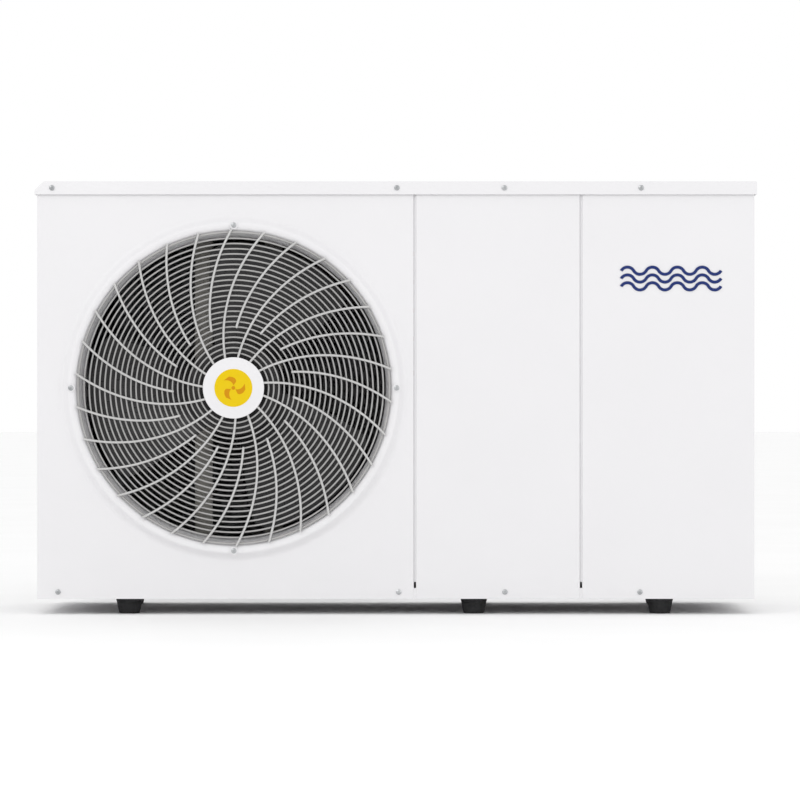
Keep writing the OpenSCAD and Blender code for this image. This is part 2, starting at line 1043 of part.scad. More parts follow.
module motor_stator() {
    color(copper)
        at_fan()
            translate([0, 0, motor_rear + 21])
                tube(motor_r - 6.1, stator_in_r, 38);
}

module motor_housing() {
    length = motor_front - motor_rear;
    color([0.3, 0.31, 0.33])
        at_fan()
            translate([0, 0, motor_rear]) {
                difference() {
                    union() {
                        cylinder(r = motor_r, h = length);
                        for (a = [45:90:315])
                            rotate([0, 0, a])
                                span([motor_r - 8, -8, 0], [ear_r + 8, 8, 6]);
                    }
                    translate([0, 0, 5])
                        cylinder(r = motor_r - 6, h = length - 10);
                    translate([0, 0, -1])
                        cylinder(r = bearing_r, h = length + 2);
                    for (a = [45:90:315])
                        rotate([0, 0, a])
                            translate([ear_r, 0, -1])
                                cylinder(r = 2.7, h = 8);
                }
                for (z = [0, length - bearing_t])
                    translate([0, 0, z])
                        tube(bearing_r + 4, bearing_r, bearing_t);
            }
}

module motor_bearings() {
    color(steel)
        at_fan()
            for (z = [motor_rear, motor_front - bearing_t])
                translate([0, 0, z])
                    tube(bearing_r, shaft_r + 0.05, bearing_t);
}

module motor_screws() {
    color(steel)
        at_fan()
            for (a = [45:90:315])
                rotate([0, 0, a])
                    translate([ear_r, 0, motor_rear + 6]) {
                        hexagon(8, 3.5);
                        translate([0, 0, -13])
                            cylinder(r = 2.5, h = 13);
                    }
}

// Two upright channels from the pan to the cover with a plate between them for the motor
module motor_bracket() {
    plate_w = 2 * rail_x + rail_w;
    low = floor_z + thin - fan_z;
    high = panel_top_z - 4 - fan_z;
    color(zinc)
        at_fan()
            difference() {
                union() {
                    for (side = [-1, 1])
                        translate([side * rail_x, 0, 0])
                            difference() {
                                span([-rail_w / 2, low, bracket_z - rail_d], [rail_w / 2, high, bracket_z]);
                                span([-rail_w / 2 + 1.5, low - 1, bracket_z - rail_d - 1],
                                    [rail_w / 2 - 1.5, high + 1, bracket_z - 1.5]);
                            }
                    span([-plate_w / 2, -72, bracket_z], [plate_w / 2, 72, motor_rear]);
                }
                for (a = [45:90:315])
                    rotate([0, 0, a])
                        translate([ear_r, 0, bracket_z - 4])
                            cylinder(r = 2.7, h = 12);
                translate([0, 0, bracket_z - 4])
                    cylinder(r = 24, h = 12);
            }
}

// ---- coil ----

// A point of the coil, a distance along its middle line and then out to the side
function coil_point(along, out) =
    let (
        cx = coil_left_x + coil_bend_r,
        cy = coil_rear_y - coil_bend_r,
        a = (along - coil_leg) / coil_mid_r * 180 / PI
    )
    along < coil_leg ? [cx - coil_mid_r - out, coil_front_y + along]
    : a < 90 ? [cx - (coil_mid_r + out) * cos(a), cy + (coil_mid_r + out) * sin(a)]
    : [cx + along - coil_leg - coil_mid_r * PI / 2, cy + coil_mid_r + out];

// Upright fins on both sides of a thin web that follows the bent coil
module coil_fins() {
    length = coil_leg + coil_mid_r * PI / 2 + coil_end_x - coil_left_x - coil_bend_r;
    count = floor((length - fin_t) / fin_pitch);
    web = 1;
    places = [for (i = [0:count]) fin_t / 2 + i * (length - fin_t) / count];
    outer = [
        for (s = places)
            each [
                if (s > fin_t) coil_point(s - fin_t / 2, web),
                coil_point(s - fin_t / 2, coil_t / 2),
                coil_point(s + fin_t / 2, coil_t / 2),
                if (s < length - fin_t) coil_point(s + fin_t / 2, web)
            ]
    ];
    inner = [
        for (i = [count:-1:0])
            let (s = places[i])
                each [
                    if (s < length - fin_t) coil_point(s + fin_t / 2, -web),
                    coil_point(s + fin_t / 2, -coil_t / 2),
                    coil_point(s - fin_t / 2, -coil_t / 2),
                    if (s > fin_t) coil_point(s - fin_t / 2, -web)
                ]
    ];
    color([0.45, 0.55, 0.62])
        translate([0, 0, coil_z0])
            linear_extrude(coil_h)
                polygon(concat(outer, inner));
}

// Heights of the hairpin bends' middles
function bend_z(i) = coil_z0 + 11.5 + (2 * i + 0.5) * tube_pitch;

module hairpin() {
    rotate([0, 0, -90])
        rotate_extrude(angle = 180)
            translate([tube_pitch / 2, 0])
                circle(d = tube_d, $fn = 24);
}

module coil_tubes() {
    color(copper)
        for (row = tube_rows)
            for (i = [0:bends - 1]) {
                translate([coil_end_x + plate_t, coil_rear_y - row, bend_z(i)])
                    rotate([90, 0, 0])
                        hairpin();
                translate([coil_left_x + row, coil_front_y - plate_t, bend_z(i)])
                    rotate([90, 0, -90])
                        hairpin();
            }
}

module coil_end_plates() {
    z1 = coil_z0 + coil_h + 6;
    color(zinc) {
        span([coil_end_x, coil_rear_y - coil_t - 3, floor_z], [coil_end_x + plate_t, coil_rear_y + 3, z1]);
        span(
            [coil_left_x - 3, coil_front_y - plate_t, floor_z],
            [coil_left_x + coil_t + 3, coil_front_y, z1]
        );
    }
}

// Upright header with short stubs into the coil, and the pipe that feeds it
module coil_header() {
    x = 62;
    z0 = 440;
    color(copper) {
        translate([x, liquid_y, z0])
            cylinder(d = 19, h = 200);
        for (i = [0:3])
            stick([coil_end_x + plate_t, liquid_y, z0 + 25 + i * 50], [x, liquid_y, z0 + 25 + i * 50], 8);
        pipe([
            [comp_x - port_gap, valve_y, valve_z - valve_r - 4],
            [comp_x - port_gap, valve_y, 425],
            [comp_x - port_gap, liquid_y, 425],
            [x, liquid_y, 425],
            [x, liquid_y, z0]
        ], gas_pipe_d, 12);
    }
}

// ---- compressor room ----

// The three compressor feet, at floor height
module at_compressor_feet() {
    for (a = [30:120:270])
        translate([comp_x + mount_r * cos(a), comp_y + mount_r * sin(a), 0])
            children();
}

// An upright vessel with rounded ends
module vessel(r, z0, z1, round_r) {
    rotate_extrude()
        polygon(concat(
            [[0, z0]],
            [for (a = [0:15:90]) [r - round_r + round_r * sin(a), z0 + round_r - round_r * cos(a)]],
            [for (a = [0:15:90]) [r - round_r + round_r * cos(a), z1 - round_r + round_r * sin(a)]],
            [[0, z1]]
        ));
}

module compressor() {
    plate_z = floor_z + grommet_h + 0.2;
    color([0.1, 0.1, 0.11])
        difference() {
            union() {
                translate([comp_x, comp_y, 0]) {
                    vessel(comp_r, comp_z0, comp_z1, 22);
                    translate([0, 0, plate_z])
                        cylinder(r = comp_skirt_r, h = comp_z0 + 6 - plate_z);
                    translate([0, 0, comp_z1 - 2])
                        cylinder(r = 9, h = 18);
                    translate([22, 0, comp_z1 - 4])
                        cylinder(r = 15, h = 22);
                    translate([comp_r - 3, 0, 88])
                        right()
                            cylinder(r = 10, h = 10);
                }
                translate([comp_x, comp_y, plate_z])
                    for (a = [30:120:270])
                        rotate([0, 0, a]) {
                            span([0, -24, 0], [mount_r, 24, 4]);
                            translate([mount_r, 0, 0])
                                cylinder(r = 24, h = 4);
                        }
            }
            translate([comp_x, comp_y, -1])
                cylinder(r = comp_r - 30, h = comp_z0);
            at_compressor_feet()
                translate([0, 0, plate_z - 1])
                    cylinder(r = 8, h = 6);
        }
}

module compressor_grommets() {
    color(black_rubber)
        at_compressor_feet()
            translate([0, 0, floor_z])
                difference() {
                    union() {
                        cylinder(r = 16, h = grommet_h);
                        cylinder(r = 7.9, h = grommet_h + 8);
                    }
                    translate([0, 0, -1])
                        cylinder(r = 4.2, h = grommet_h + 20);
                }
}

module compressor_bolts() {
    z0 = pan_z - 2.5;
    color(steel)
        at_compressor_feet() {
            translate([0, 0, z0])
                cylinder(r = 8, h = 2.5);
            translate([0, 0, z0 + 2])
                cylinder(r = 4, h = floor_z + grommet_h + 20 - z0);
            translate([0, 0, floor_z + grommet_h + 8 + thin]) {
                difference() {
                    union() {
                        cylinder(r = 11, h = 1.6);
                        hexagon(13, 8);
                    }
                    translate([0, 0, -1])
                        cylinder(r = 4, h = 12);
                }
            }
        }
}

module accumulator() {
    color([0.12, 0.12, 0.13])
        difference() {
            union() {
                translate([acc_x, comp_y, 0]) {
                    vessel(acc_r, acc_z0, acc_z1, 20);
                    translate([0, 0, acc_z0 - 6])
                        cylinder(r = 11, h = 8);
                    translate([0, 0, acc_z1 - 2])
                        cylinder(r = 11, h = 8);
                }
                span([comp_x + comp_r - 6, comp_y - 12, 200], [acc_x - acc_r + 4, comp_y + 12, 216]);
            }
            translate([comp_x, comp_y, 190])
                cylinder(r = comp_r + 0.02, h = 40);
        }
}

// Valve body lying along X, with one port up and three ports down
module reversing_valve() {
    length = 120;
    color(brass)
        translate([comp_x, valve_y, valve_z]) {
            translate([-length / 2, 0, 0])
                right()
                    cylinder(r = valve_r, h = length);
            for (x = [-length / 2 - 6, length / 2])
                translate([x, 0, 0])
                    right()
                        cylinder(r = 8, h = 6);
            cylinder(r = 9, h = valve_r + 4);
            for (x = [-port_gap, 0, port_gap])
                translate([x, 0, -valve_r - 4])
                    cylinder(r = 10, h = valve_r + 4);
            translate([0, valve_r - 2, 0])
                back()
                    cylinder(r = 7, h = 8);
        }
}

module valve_solenoid() {
    color([0.75, 0.12, 0.1])
        translate([comp_x, valve_y + valve_r + 6, valve_z])
            back() {
                cylinder(r = 17, h = 24);
                translate([0, 0, 24])
                    cylinder(r = 5, h = 4);
            }
}

module expansion_valve() {
    color(brass)
        translate([liquid_x, liquid_y, 325]) {
            cylinder(r = 8, h = 6);
            translate([0, 0, 6])
                cylinder(r = 11, h = 16);
            translate([0, 0, 22])
                cylinder(r = 18, h = 24);
            translate([0, 0, 46])
                cylinder(r = 8, h = 7);
        }
}

module filter_drier() {
    color(copper)
        translate([liquid_x, liquid_y, 0])
            rotate_extrude()
                polygon([[0, 190], [7, 190], [7, 198], [16, 210], [16, 262], [7, 274], [7, 282], [0, 282]]);
}

module discharge_pipe() {
    color(copper)
        pipe([
            [comp_x, comp_y, comp_z1 + 16],
            [comp_x, comp_y, 425],
            [comp_x, comp_y + 100, 425],
            [comp_x, comp_y + 100, 545],
            [comp_x, valve_y, 545],
            [comp_x, valve_y, valve_z + valve_r + 4]
        ], hot_pipe_d, 20);
}

module suction_pipe() {
    color(copper) {
        pipe([
            [comp_x, valve_y, valve_z - valve_r - 4],
            [comp_x, valve_y, 396],
            [acc_x, valve_y, 396],
            [acc_x, comp_y, 396],
            [acc_x, comp_y, acc_z1 + 6]
        ], gas_pipe_d, 24);
        pipe([
            [acc_x, comp_y, acc_z0 - 6],
            [acc_x, comp_y, 88],
            [comp_x + comp_r + 7, comp_y, 88]
        ], gas_pipe_d, 18);
    }
}

module exchanger_gas_pipe() {
    x = comp_x + port_gap;
    color(copper)
        pipe([
            [x, valve_y, valve_z - valve_r - 4],
            [x, valve_y, 425],
            [x + 125, valve_y, 425],
            [x + 125, valve_y, 520],
            [shell_x + helix_r, valve_y, 520],
            [shell_x + helix_r, shell_y, 520],
            [shell_x + helix_r, shell_y, shell_z1 + 14]
        ], hot_pipe_d, 18);
}

module liquid_pipe() {
    color(copper) {
        pipe([
            [shell_x - shell_r - 8, shell_y, helix_z0],
            [350, shell_y, helix_z0],
            [350, liquid_y, helix_z0],
            [liquid_x, liquid_y, helix_z0],
            [liquid_x, liquid_y, 190]
        ], liquid_pipe_d, 18);
        stick([liquid_x, liquid_y, 282], [liquid_x, liquid_y, 325], liquid_pipe_d);
        pipe([
            [liquid_x, liquid_y, 378],
            [liquid_x, liquid_y, 405],
            [coil_end_x + plate_t, liquid_y, 405]
        ], liquid_pipe_d, 12);
    }
}

// ---- water side ----

module exchanger_shell() {
    leg_hole_r = helix_leg_d / 2 + 0.05;
    color(pipe_grey)
        difference() {
            union() {
                translate([shell_x, shell_y, 0]) {
                    vessel(shell_r, shell_z0, shell_z1, 16);
                    for (z = [shell_z0 + 26, shell_z1 - 40])
                        translate([0, 0, z])
                            cylinder(r = shell_r + 4, h = 14);
                    for (a = [45:90:315])
                        rotate([0, 0, a])
                            translate([shell_r - 18, 0, floor_z])
                                cylinder(r = 10, h = shell_z0 + 6 - floor_z);
                    translate([helix_r, 0, shell_z1 - 4])
                        cylinder(r = 12, h = 12);
                    translate([-shell_r - 6, 0, helix_z0])
                        right()
                            cylinder(r = 12, h = 12);
                }
                for (z = [inlet_z, outlet_z])
                    translate([shell_x, shell_y, z])
                        back()
                            cylinder(r = port_out_r, h = port_y - shell_y);
            }
            translate([shell_x, shell_y, 0])
                vessel(shell_r - shell_wall, shell_z0 + shell_wall, shell_z1 - shell_wall, 12);
            for (z = [inlet_z, outlet_z])
                translate([shell_x, shell_y, z])
                    back() {
                        cylinder(r = water_bore_r, h = port_y - shell_y + 1);
                        translate([0, 0, port_y - shell_y - 12])
                            cylinder(r = water_pipe_r + 0.02, h = 14);
                    }
            translate([shell_x + helix_r, shell_y, shell_z1 - 20])
                cylinder(r = leg_hole_r, h = 40);
            translate([shell_x - shell_r - 10, shell_y, helix_z0])
                right()
                    cylinder(r = leg_hole_r, h = 30);
        }
}

// Coiled titanium tube: tilted half turns that end inside thin sleeves, which join them
module titanium_coil() {
    rise = helix_pitch / 2;
    arc_r = norm([helix_r, rise / 2]);
    tilt = asin(rise / 2 / arc_r);
    short = 0.5;
    color([0.62, 0.62, 0.64])
        translate([shell_x, shell_y, helix_z0]) {
            for (i = [0:half_turns - 1])
                translate([0, 0, (i + 0.5) * rise])
                    rotate([0, 0, i % 2 == 0 ? 180 : 0])
                        rotate([0, tilt, 0])
                            rotate([0, 0, short])
                                rotate_extrude(angle = 180 - 2 * short, $fn = 96)
                                    translate([arc_r, 0])
                                        circle(d = helix_d, $fn = 24);
            for (i = [0:half_turns])
                translate([(i % 2 == 0 ? -1 : 1) * helix_r, -helix_sleeve / 2, i * rise])
                    back()
                        cylinder(d = helix_d + 0.3, h = helix_sleeve);
            stick([-helix_r, 0, 0], [-shell_r - 8, 0, 0], helix_leg_d);
            stick([helix_r, 0, half_turns * rise], [helix_r, 0, shell_z1 + 14 - helix_z0], helix_leg_d);
        }
}

// Two bands that hold the exchanger to the side wall
module exchanger_straps() {
    color(zinc)
        for (z = [180, 290])
            translate([shell_x, shell_y, z]) {
                tube(shell_r + 1.5, shell_r, 20);
                span([shell_r + 1.4, -10, 0], [half_w - sheet - thin - shell_x, 10, 20]);
            }
}

// A water pipe from the exchanger to its union, in a frame that runs to the rear
module water_run(tee) {
    start = port_y - 12;
    flange_y = rear_y - sheet - 0.1;
    difference() {
        union() {
            translate([0, start, 0])
                back()
                    cylinder(r = water_pipe_r, h = flange_y - start);
            translate([0, flange_y - 5, 0])
                back()
                    cylinder(r = 37, h = 5);
            translate([0, flange_y - 2, 0])
                back()
                    cylinder(r = stub_r, h = rear_y + 20 - flange_y + 2);
            if (tee)
                translate([0, tee_y, 0])
                    cylinder(r = 18, h = tee_h);
        }
        translate([0, start - 1, 0])
            back()
                cylinder(r = water_bore_r, h = 200);
        if (tee)
            translate([0, tee_y, 0])
                cylinder(r = tee_bore_r, h = tee_h + 1);
    }
}

module water_pipes() {
    color(pipe_grey) {
        translate([water_x, 0, inlet_z])
            water_run(true);
        translate([water_x, 0, outlet_z])
            water_run(false);
    }
}

module union_tails() {
    face = rear_y + 20.2;
    color(pipe_grey)
        for (z = [inlet_z, outlet_z])
            translate([water_x, face, z])
                back()
                    difference() {
                        union() {
                            cylinder(r = 28.5, h = union_reach - 20.2);
                            cylinder(r = 29.8, h = 5);
                        }
                        translate([0, 0, -1])
                            cylinder(r = water_bore_r, h = union_reach);
                        translate([0, 0, union_reach - 20.2 - 30])
                            cylinder(r = water_pipe_r + 0.08, h = 31);
                    }
}

// Ribbed nut that pulls a union's tail against its threaded end
module union_nut(z) {
    color([0.3, 0.32, 0.35])
        translate([water_x, rear_y + 3, z])
            back()
                difference() {
                    union() {
                        cylinder(r = nut_r - 2, h = nut_len);
                        for (a = [0:30:330])
                            rotate([0, 0, a])
                                span([nut_r - 8, -3.5, 2], [nut_r, 3.5, nut_len - 4]);
                    }
                    translate([0, 0, -1])
                        cylinder(r = nut_in_r, h = 17.2 + 5.6 + 1);
                    cylinder(r = 29.1, h = nut_len + 1);
                }
}

module inlet_union_nut() {
    union_nut(inlet_z);
}

module outlet_union_nut() {
    union_nut(outlet_z);
}

module flow_switch() {
    color([0.15, 0.15, 0.17])
        translate([water_x, tee_y, 0])
            difference() {
                union() {
                    translate([0, 0, switch_z0])
                        cylinder(r = 19, h = 10);
                    span([-22, -18, switch_z0 + 8], [22, 18, switch_z0 + 52]);
                }
                span([-11, -11, switch_z0 - 1], [11, 11, switch_z0 + 24]);
                translate([-15, 0, pivot_z])
                    right()
                        cylinder(r = pin_r + 0.05, h = 30);
            }
}

// Paddle that hangs in the inlet water from a pin across the switch
module flow_paddle() {
    color([0.8, 0.8, 0.82])
        translate([water_x, tee_y, 0]) {
            translate([-14.5, 0, pivot_z])
                right()
                    cylinder(r = pin_r, h = 29);
            translate([0, 0, inlet_z + 2])
                cylinder(r = 2, h = pivot_z - inlet_z - 2);
            span([-12, -1, inlet_z - 14], [12, 1, inlet_z + 10]);
        }
}

// ---- electrics ----

// Tray that is open to the front, with fins for the power stage behind it
module control_box() {
    color(zinc)
        difference() {
            span([box_x0, box_y0, box_z0], [box_x1, box_y1, box_z1]);
            span(
                [box_x0 + box_t, box_y0 - 1, box_z0 + box_t],
                [box_x1 - box_t, box_y1 - box_t, box_z1 - box_t]
            );
        }
    color(steel) {
        span([330, box_y1, 540], [480, box_y1 + 5, 650]);
        for (i = [0:11])
            span([332 + i * 13, box_y1 + 4, 540], [335 + i * 13, box_y1 + 34, 650]);
    }
}

module circuit_board() {
    back_y = box_y1 - box_t;
    color([0.1, 0.4, 0.2])
        span([100, back_y - 12, 530], [310, back_y - 10, 660]);
    color([0.1, 0.4, 0.2])
        span([330, back_y - 12, 530], [490, back_y - 10, 660]);
    color(black_rubber) {
        for (x = [130, 165, 200])
            translate([x, back_y - 11, 630])
                rotate([90, 0, 0])
                    cylinder(r = 13, h = 40);
        span([230, back_y - 34, 600], [290, back_y - 11, 640]);
        span([120, back_y - 26, 545], [290, back_y - 11, 565]);
        span([350, back_y - 46, 560], [420, back_y - 11, 620]);
        span([440, back_y - 30, 560], [480, back_y - 11, 640]);
        for (x = [106, 304, 336, 484])
            for (z = [536, 654])
                translate([x, back_y, z])
                    rotate([90, 0, 0])
                        cylinder(r = 3, h = 11);
    }
}

// ---- drawing ----
base_pan();
front_fan_panel();
front_middle_panel();
front_right_panel();
top_cover();
left_side_grille();
right_side_panel();
rear_right_panel();
rear_coil_guard();
side_handle();
terminal_cover();
partition_plate();
corner_posts();
rubber_feet();
foot_bolts();
guard_rings();
guard_spokes();
guard_plates();
guard_label();
guard_screws();
lid_screws();
panel_screws();
wave_badge();
fan_rotor();
fan_nut();
motor_shaft();
motor_rotor_core();
motor_housing();
motor_stator();
motor_bearings();
motor_bracket();
motor_screws();
coil_fins();
coil_tubes();
coil_end_plates();
coil_header();
compressor();
compressor_grommets();
compressor_bolts();
accumulator();
reversing_valve();
valve_solenoid();
expansion_valve();
filter_drier();
discharge_pipe();
suction_pipe();
exchanger_gas_pipe();
liquid_pipe();
exchanger_shell();
titanium_coil();
exchanger_straps();
water_pipes();
union_tails();
inlet_union_nut();
outlet_union_nut();
flow_switch();
flow_paddle();
control_box();
circuit_board();
cable_glands();
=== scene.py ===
# %% [markdown]
# A pool heat pump stands outdoors and warms pool water with heat that its fan draws from the air.
# The CAD frame already holds every sheet, pipe and screw at its true size and place. What it lacks
# is the way the real thing looks: rounded folds, round wires, fine fins and painted surfaces.
# So this lesson loads the frame, leaves its parts where they are, and dresses them.

# %% Load the frame
import json
import math

import bmesh
import bpy
import numpy as np
from mathutils import Matrix, Vector


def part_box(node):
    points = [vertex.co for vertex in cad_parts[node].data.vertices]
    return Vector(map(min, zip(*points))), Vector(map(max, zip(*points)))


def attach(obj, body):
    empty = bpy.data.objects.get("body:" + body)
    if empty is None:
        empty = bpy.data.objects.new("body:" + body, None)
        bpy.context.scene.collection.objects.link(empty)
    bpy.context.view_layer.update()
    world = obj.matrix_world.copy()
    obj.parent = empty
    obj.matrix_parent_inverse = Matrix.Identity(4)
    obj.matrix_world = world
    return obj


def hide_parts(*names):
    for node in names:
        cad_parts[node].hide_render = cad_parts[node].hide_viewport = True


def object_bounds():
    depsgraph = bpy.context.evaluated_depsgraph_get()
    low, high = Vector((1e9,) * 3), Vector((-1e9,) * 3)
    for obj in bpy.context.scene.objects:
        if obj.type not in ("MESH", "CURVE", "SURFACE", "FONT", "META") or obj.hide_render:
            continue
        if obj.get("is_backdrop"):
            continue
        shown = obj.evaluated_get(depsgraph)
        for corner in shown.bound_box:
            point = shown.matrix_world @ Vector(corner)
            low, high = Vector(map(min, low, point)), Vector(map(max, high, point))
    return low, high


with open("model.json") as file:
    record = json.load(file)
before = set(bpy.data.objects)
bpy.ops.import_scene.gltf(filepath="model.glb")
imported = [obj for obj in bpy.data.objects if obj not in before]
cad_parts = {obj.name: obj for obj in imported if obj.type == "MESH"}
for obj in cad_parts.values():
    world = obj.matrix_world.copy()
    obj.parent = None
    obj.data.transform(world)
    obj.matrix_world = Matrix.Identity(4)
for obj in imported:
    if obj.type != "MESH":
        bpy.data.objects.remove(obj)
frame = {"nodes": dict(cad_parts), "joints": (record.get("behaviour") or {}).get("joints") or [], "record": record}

MM = 0.001
cad_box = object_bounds()
nodes = frame["nodes"]
rides_on = {
    node: body
    for body, members in frame["record"]["behaviour"]["bodies"].items()
    for node in members
}
slot_of = {part["node"]: part["material_slot"] for part in frame["record"]["subparts"]}
hinge = {joint["name"]: Vector(joint["pos_m"]) for joint in frame["joints"]}
print("nodes:", len(nodes), "box:", [round(v, 4) for v in cad_box[1] - cad_box[0]])

# %% [markdown]
# The unit is seen straight from the front, from far away, with a long lens, so that its edges
# stay parallel. The room is a wide pale floor under an evenly white sky, because white sheet
# metal needs light from all round to stay white on every side. Two weak lamps in front, the
# stronger one at the upper left, are just enough to model the folds and the round wires.

# %% Camera
front_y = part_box("front_middle_panel")[0].y
room_reach = 60
view_distance = 7.0
view_width = 1.3336
view_centre = Vector((0.0071, front_y, 0.3575))

camera_data = bpy.data.cameras.new("camera")
camera_data.sensor_width = 36
camera_data.lens = camera_data.sensor_width * view_distance / view_width
camera_data.clip_end = room_reach
camera = bpy.data.objects.new("camera", camera_data)
camera.location = view_centre - Vector((0, view_distance, 0))
camera.rotation_euler = (math.radians(90), 0, 0)
bpy.context.scene.collection.objects.link(camera)
bpy.context.scene.camera = camera
bpy.context.scene.view_settings.view_transform = "Standard"
print("lens:", round(camera_data.lens, 1), "mm")


# %% Soft lights
def area_light(name, place, aim, size, watts):
    """A square lamp that looks at a point."""
    data = bpy.data.lights.new(name, "AREA")
    data.size = size
    data.energy = watts
    lamp = bpy.data.objects.new(name, data)
    lamp.location = place
    lamp.rotation_euler = (Vector(aim) - Vector(place)).to_track_quat("-Z", "Y").to_euler()
    lamp.visible_camera = False
    bpy.context.scene.collection.objects.link(lamp)


middle = (0, 0, 0.36)
area_light("key", (-2.6, -3.6, 3.0), middle, 1.6, 24)
area_light("right_fill", (3.4, -3.2, 1.4), middle, 2.0, 12)
world = bpy.data.worlds.new("studio")
world.use_nodes = True
world.node_tree.nodes["Background"].inputs["Color"].default_value = (1, 1, 1, 1)
world.node_tree.nodes["Background"].inputs["Strength"].default_value = 1.0
bpy.context.scene.world = world

# %% [markdown]
# Each finish is one Principled shader with a few patterns behind it. The patterns read Object
# coordinates. Every finished piece has its object at the origin, so these are true metres, and
# a pattern of half a millimetre is as fine on a screw as it is on the cover. Four small helpers
# keep the node trees short: one adds a node, one makes noise, one maps a value, one mixes tones.


# %% Node helpers
def add(tree, kind, values=None, **settings):
    """Adds a node and gives its first output. A value that is a socket is linked, others are set."""
    node = tree.nodes.new(kind)
    for name, value in settings.items():
        setattr(node, name, value)
    for key, value in (values or {}).items():
        for one in value if isinstance(value, list) else [value]:
            if isinstance(one, bpy.types.NodeSocket):
                tree.links.new(one, node.inputs[key])
            else:
                node.inputs[key].default_value = one
    return node.outputs[0]


def calc(tree, operation, *values):
    """Arithmetic on numbers."""
    return add(tree, "ShaderNodeMath", dict(enumerate(values)), operation=operation)


def spot(tree, stretch=(1, 1, 1)):
    """Where the shaded point is on the object, in metres, stretched along the axes if asked."""
    here = add(tree, "ShaderNodeTexCoord").node.outputs["Object"]
    return add(tree, "ShaderNodeMapping", {"Vector": here, "Scale": stretch})


def noise(tree, scale, stretch=(1, 1, 1), detail=2.0):
    """Cloudy noise from 0 to 1; scale is its blobs per metre."""
    values = {"Vector": spot(tree, stretch), "Scale": scale, "Detail": detail}
    return add(tree, "ShaderNodeTexNoise", values)


def spread(tree, value, low, high, start=0.3, end=0.7):
    """Maps a pattern's middle range onto low to high."""
    values = {0: value, 1: start, 2: end, 3: low, 4: high}
    return add(tree, "ShaderNodeMapRange", values)


def tones(tree, share, first, second):
    """A colour between two, by a pattern."""
    mix = add(tree, "ShaderNodeMix", {0: share}, data_type="RGBA").node
    mix.inputs[6].default_value = (*first, 1)
    mix.inputs[7].default_value = (*second, 1)
    return mix.outputs[2]


def new_finish(name, **sockets):
    """A material and its node tree, with uniform values set on the shader's own sockets."""
    material = bpy.data.materials.new(name)
    material.use_nodes = True
    shader = material.node_tree.nodes["Principled BSDF"]
    for label, value in sockets.items():
        shader.inputs[label.replace("_", " ")].default_value = value
    return material


def wear(material, colour=None, roughness=None, height=None, depth=0.0001):
    """Links patterns to a finish: its colour, its roughness, and a height in metres for bump."""
    tree = material.node_tree
    shader = tree.nodes["Principled BSDF"]
    if colour:
        tree.links.new(colour, shader.inputs["Base Color"])
    if roughness:
        tree.links.new(roughness, shader.inputs["Roughness"])
    if height:
        bump = add(tree, "ShaderNodeBump", {"Height": height, "Distance": depth, "Strength": 1.0})
        tree.links.new(bump, shader.inputs["Normal"])
    return material


# %% [markdown]
# Powder coat is plastic powder melted onto steel. It dries a little uneven, like orange peel,
# with waves about two millimetres long and only hundredths of a millimetre high. The wires get
# the same coat, thicker and bumpier, because powder gathers on thin round metal. The rings get
# a darker copy of it: painted shade, for rings that lie deeper than the spokes and are less lit.


# %% Painted finishes
def powder_coat(name, light, dark, peel=520, depth=0.00003, shine=(0.3, 0.42)):
    """Satin paint with orange peel and a faint change of tone over the sheet."""
    material = new_finish(name, Specular_IOR_Level=0.5, Coat_Weight=0.08, Coat_Roughness=0.2)
    tree = material.node_tree
    cloud = noise(tree, 6, detail=3)
    grain = noise(tree, peel, detail=1)
    speck = noise(tree, 2600, detail=0)
    height = calc(tree, "MULTIPLY_ADD", speck, 0.25, grain)
    return wear(
        material,
        colour=tones(tree, spread(tree, cloud, 0, 1), dark, light),
        roughness=spread(tree, noise(tree, 14), *shine),
        height=height,
        depth=depth,
    )


def gloss_black(name, tone, peel=700):
    """Black enamel with faint peel, and dust where the noise is high."""
    material = new_finish(name, Coat_Weight=0.5, Coat_Roughness=0.12)
    tree = material.node_tree
    dust = spread(tree, noise(tree, 40, detail=4), 0, 0.5, 0.5, 0.9)
    return wear(
        material,
        colour=tones(tree, dust, tone, (0.09, 0.09, 0.088)),
        roughness=spread(tree, noise(tree, 60), 0.22, 0.4),
        height=noise(tree, peel),
        depth=0.00002,
    )


def cast_paint(name, tone):
    """Paint over a cast surface: coarse grain that the paint has softened."""
    material = new_finish(name, Specular_IOR_Level=0.4)
    tree = material.node_tree
    grain = calc(tree, "MULTIPLY_ADD", noise(tree, 1500), 0.4, noise(tree, 380, detail=3))
    return wear(
        material,
        colour=tones(tree, spread(tree, noise(tree, 25), 0, 1), tone, [v * 1.35 for v in tone]),
        roughness=spread(tree, noise(tree, 90), 0.4, 0.6),
        height=grain,
        depth=0.00012,
    )


# %% [markdown]
# Bare metals differ in how they were made. Zinc-dipped sheet shows crystals a centimetre across.
# Screws are bright with fine turning lines. Drawn copper has long soft streaks and darkens in
# patches. Machined brass has rings, and the motor's core is a stack of thin sheets.


# %% Metal finishes
def spangle(name, light, dark, cell=90):
    """Galvanised sheet: every crystal has its own tone and shine."""
    material = new_finish(name, Metallic=1.0)
    tree = material.node_tree
    crystal = add(tree, "ShaderNodeTexVoronoi", {"Vector": spot(tree), "Scale": cell}).node
    tone = add(tree, "ShaderNodeSeparateColor", {0: crystal.outputs["Color"]})
    mixed = calc(tree, "MULTIPLY_ADD", noise(tree, 30), 0.4, calc(tree, "MULTIPLY", tone, 0.6))
    return wear(
        material,
        colour=tones(tree, mixed, dark, light),
        roughness=spread(tree, mixed, 0.36, 0.58, 0, 1),
        height=noise(tree, 900),
        depth=0.00002,
    )


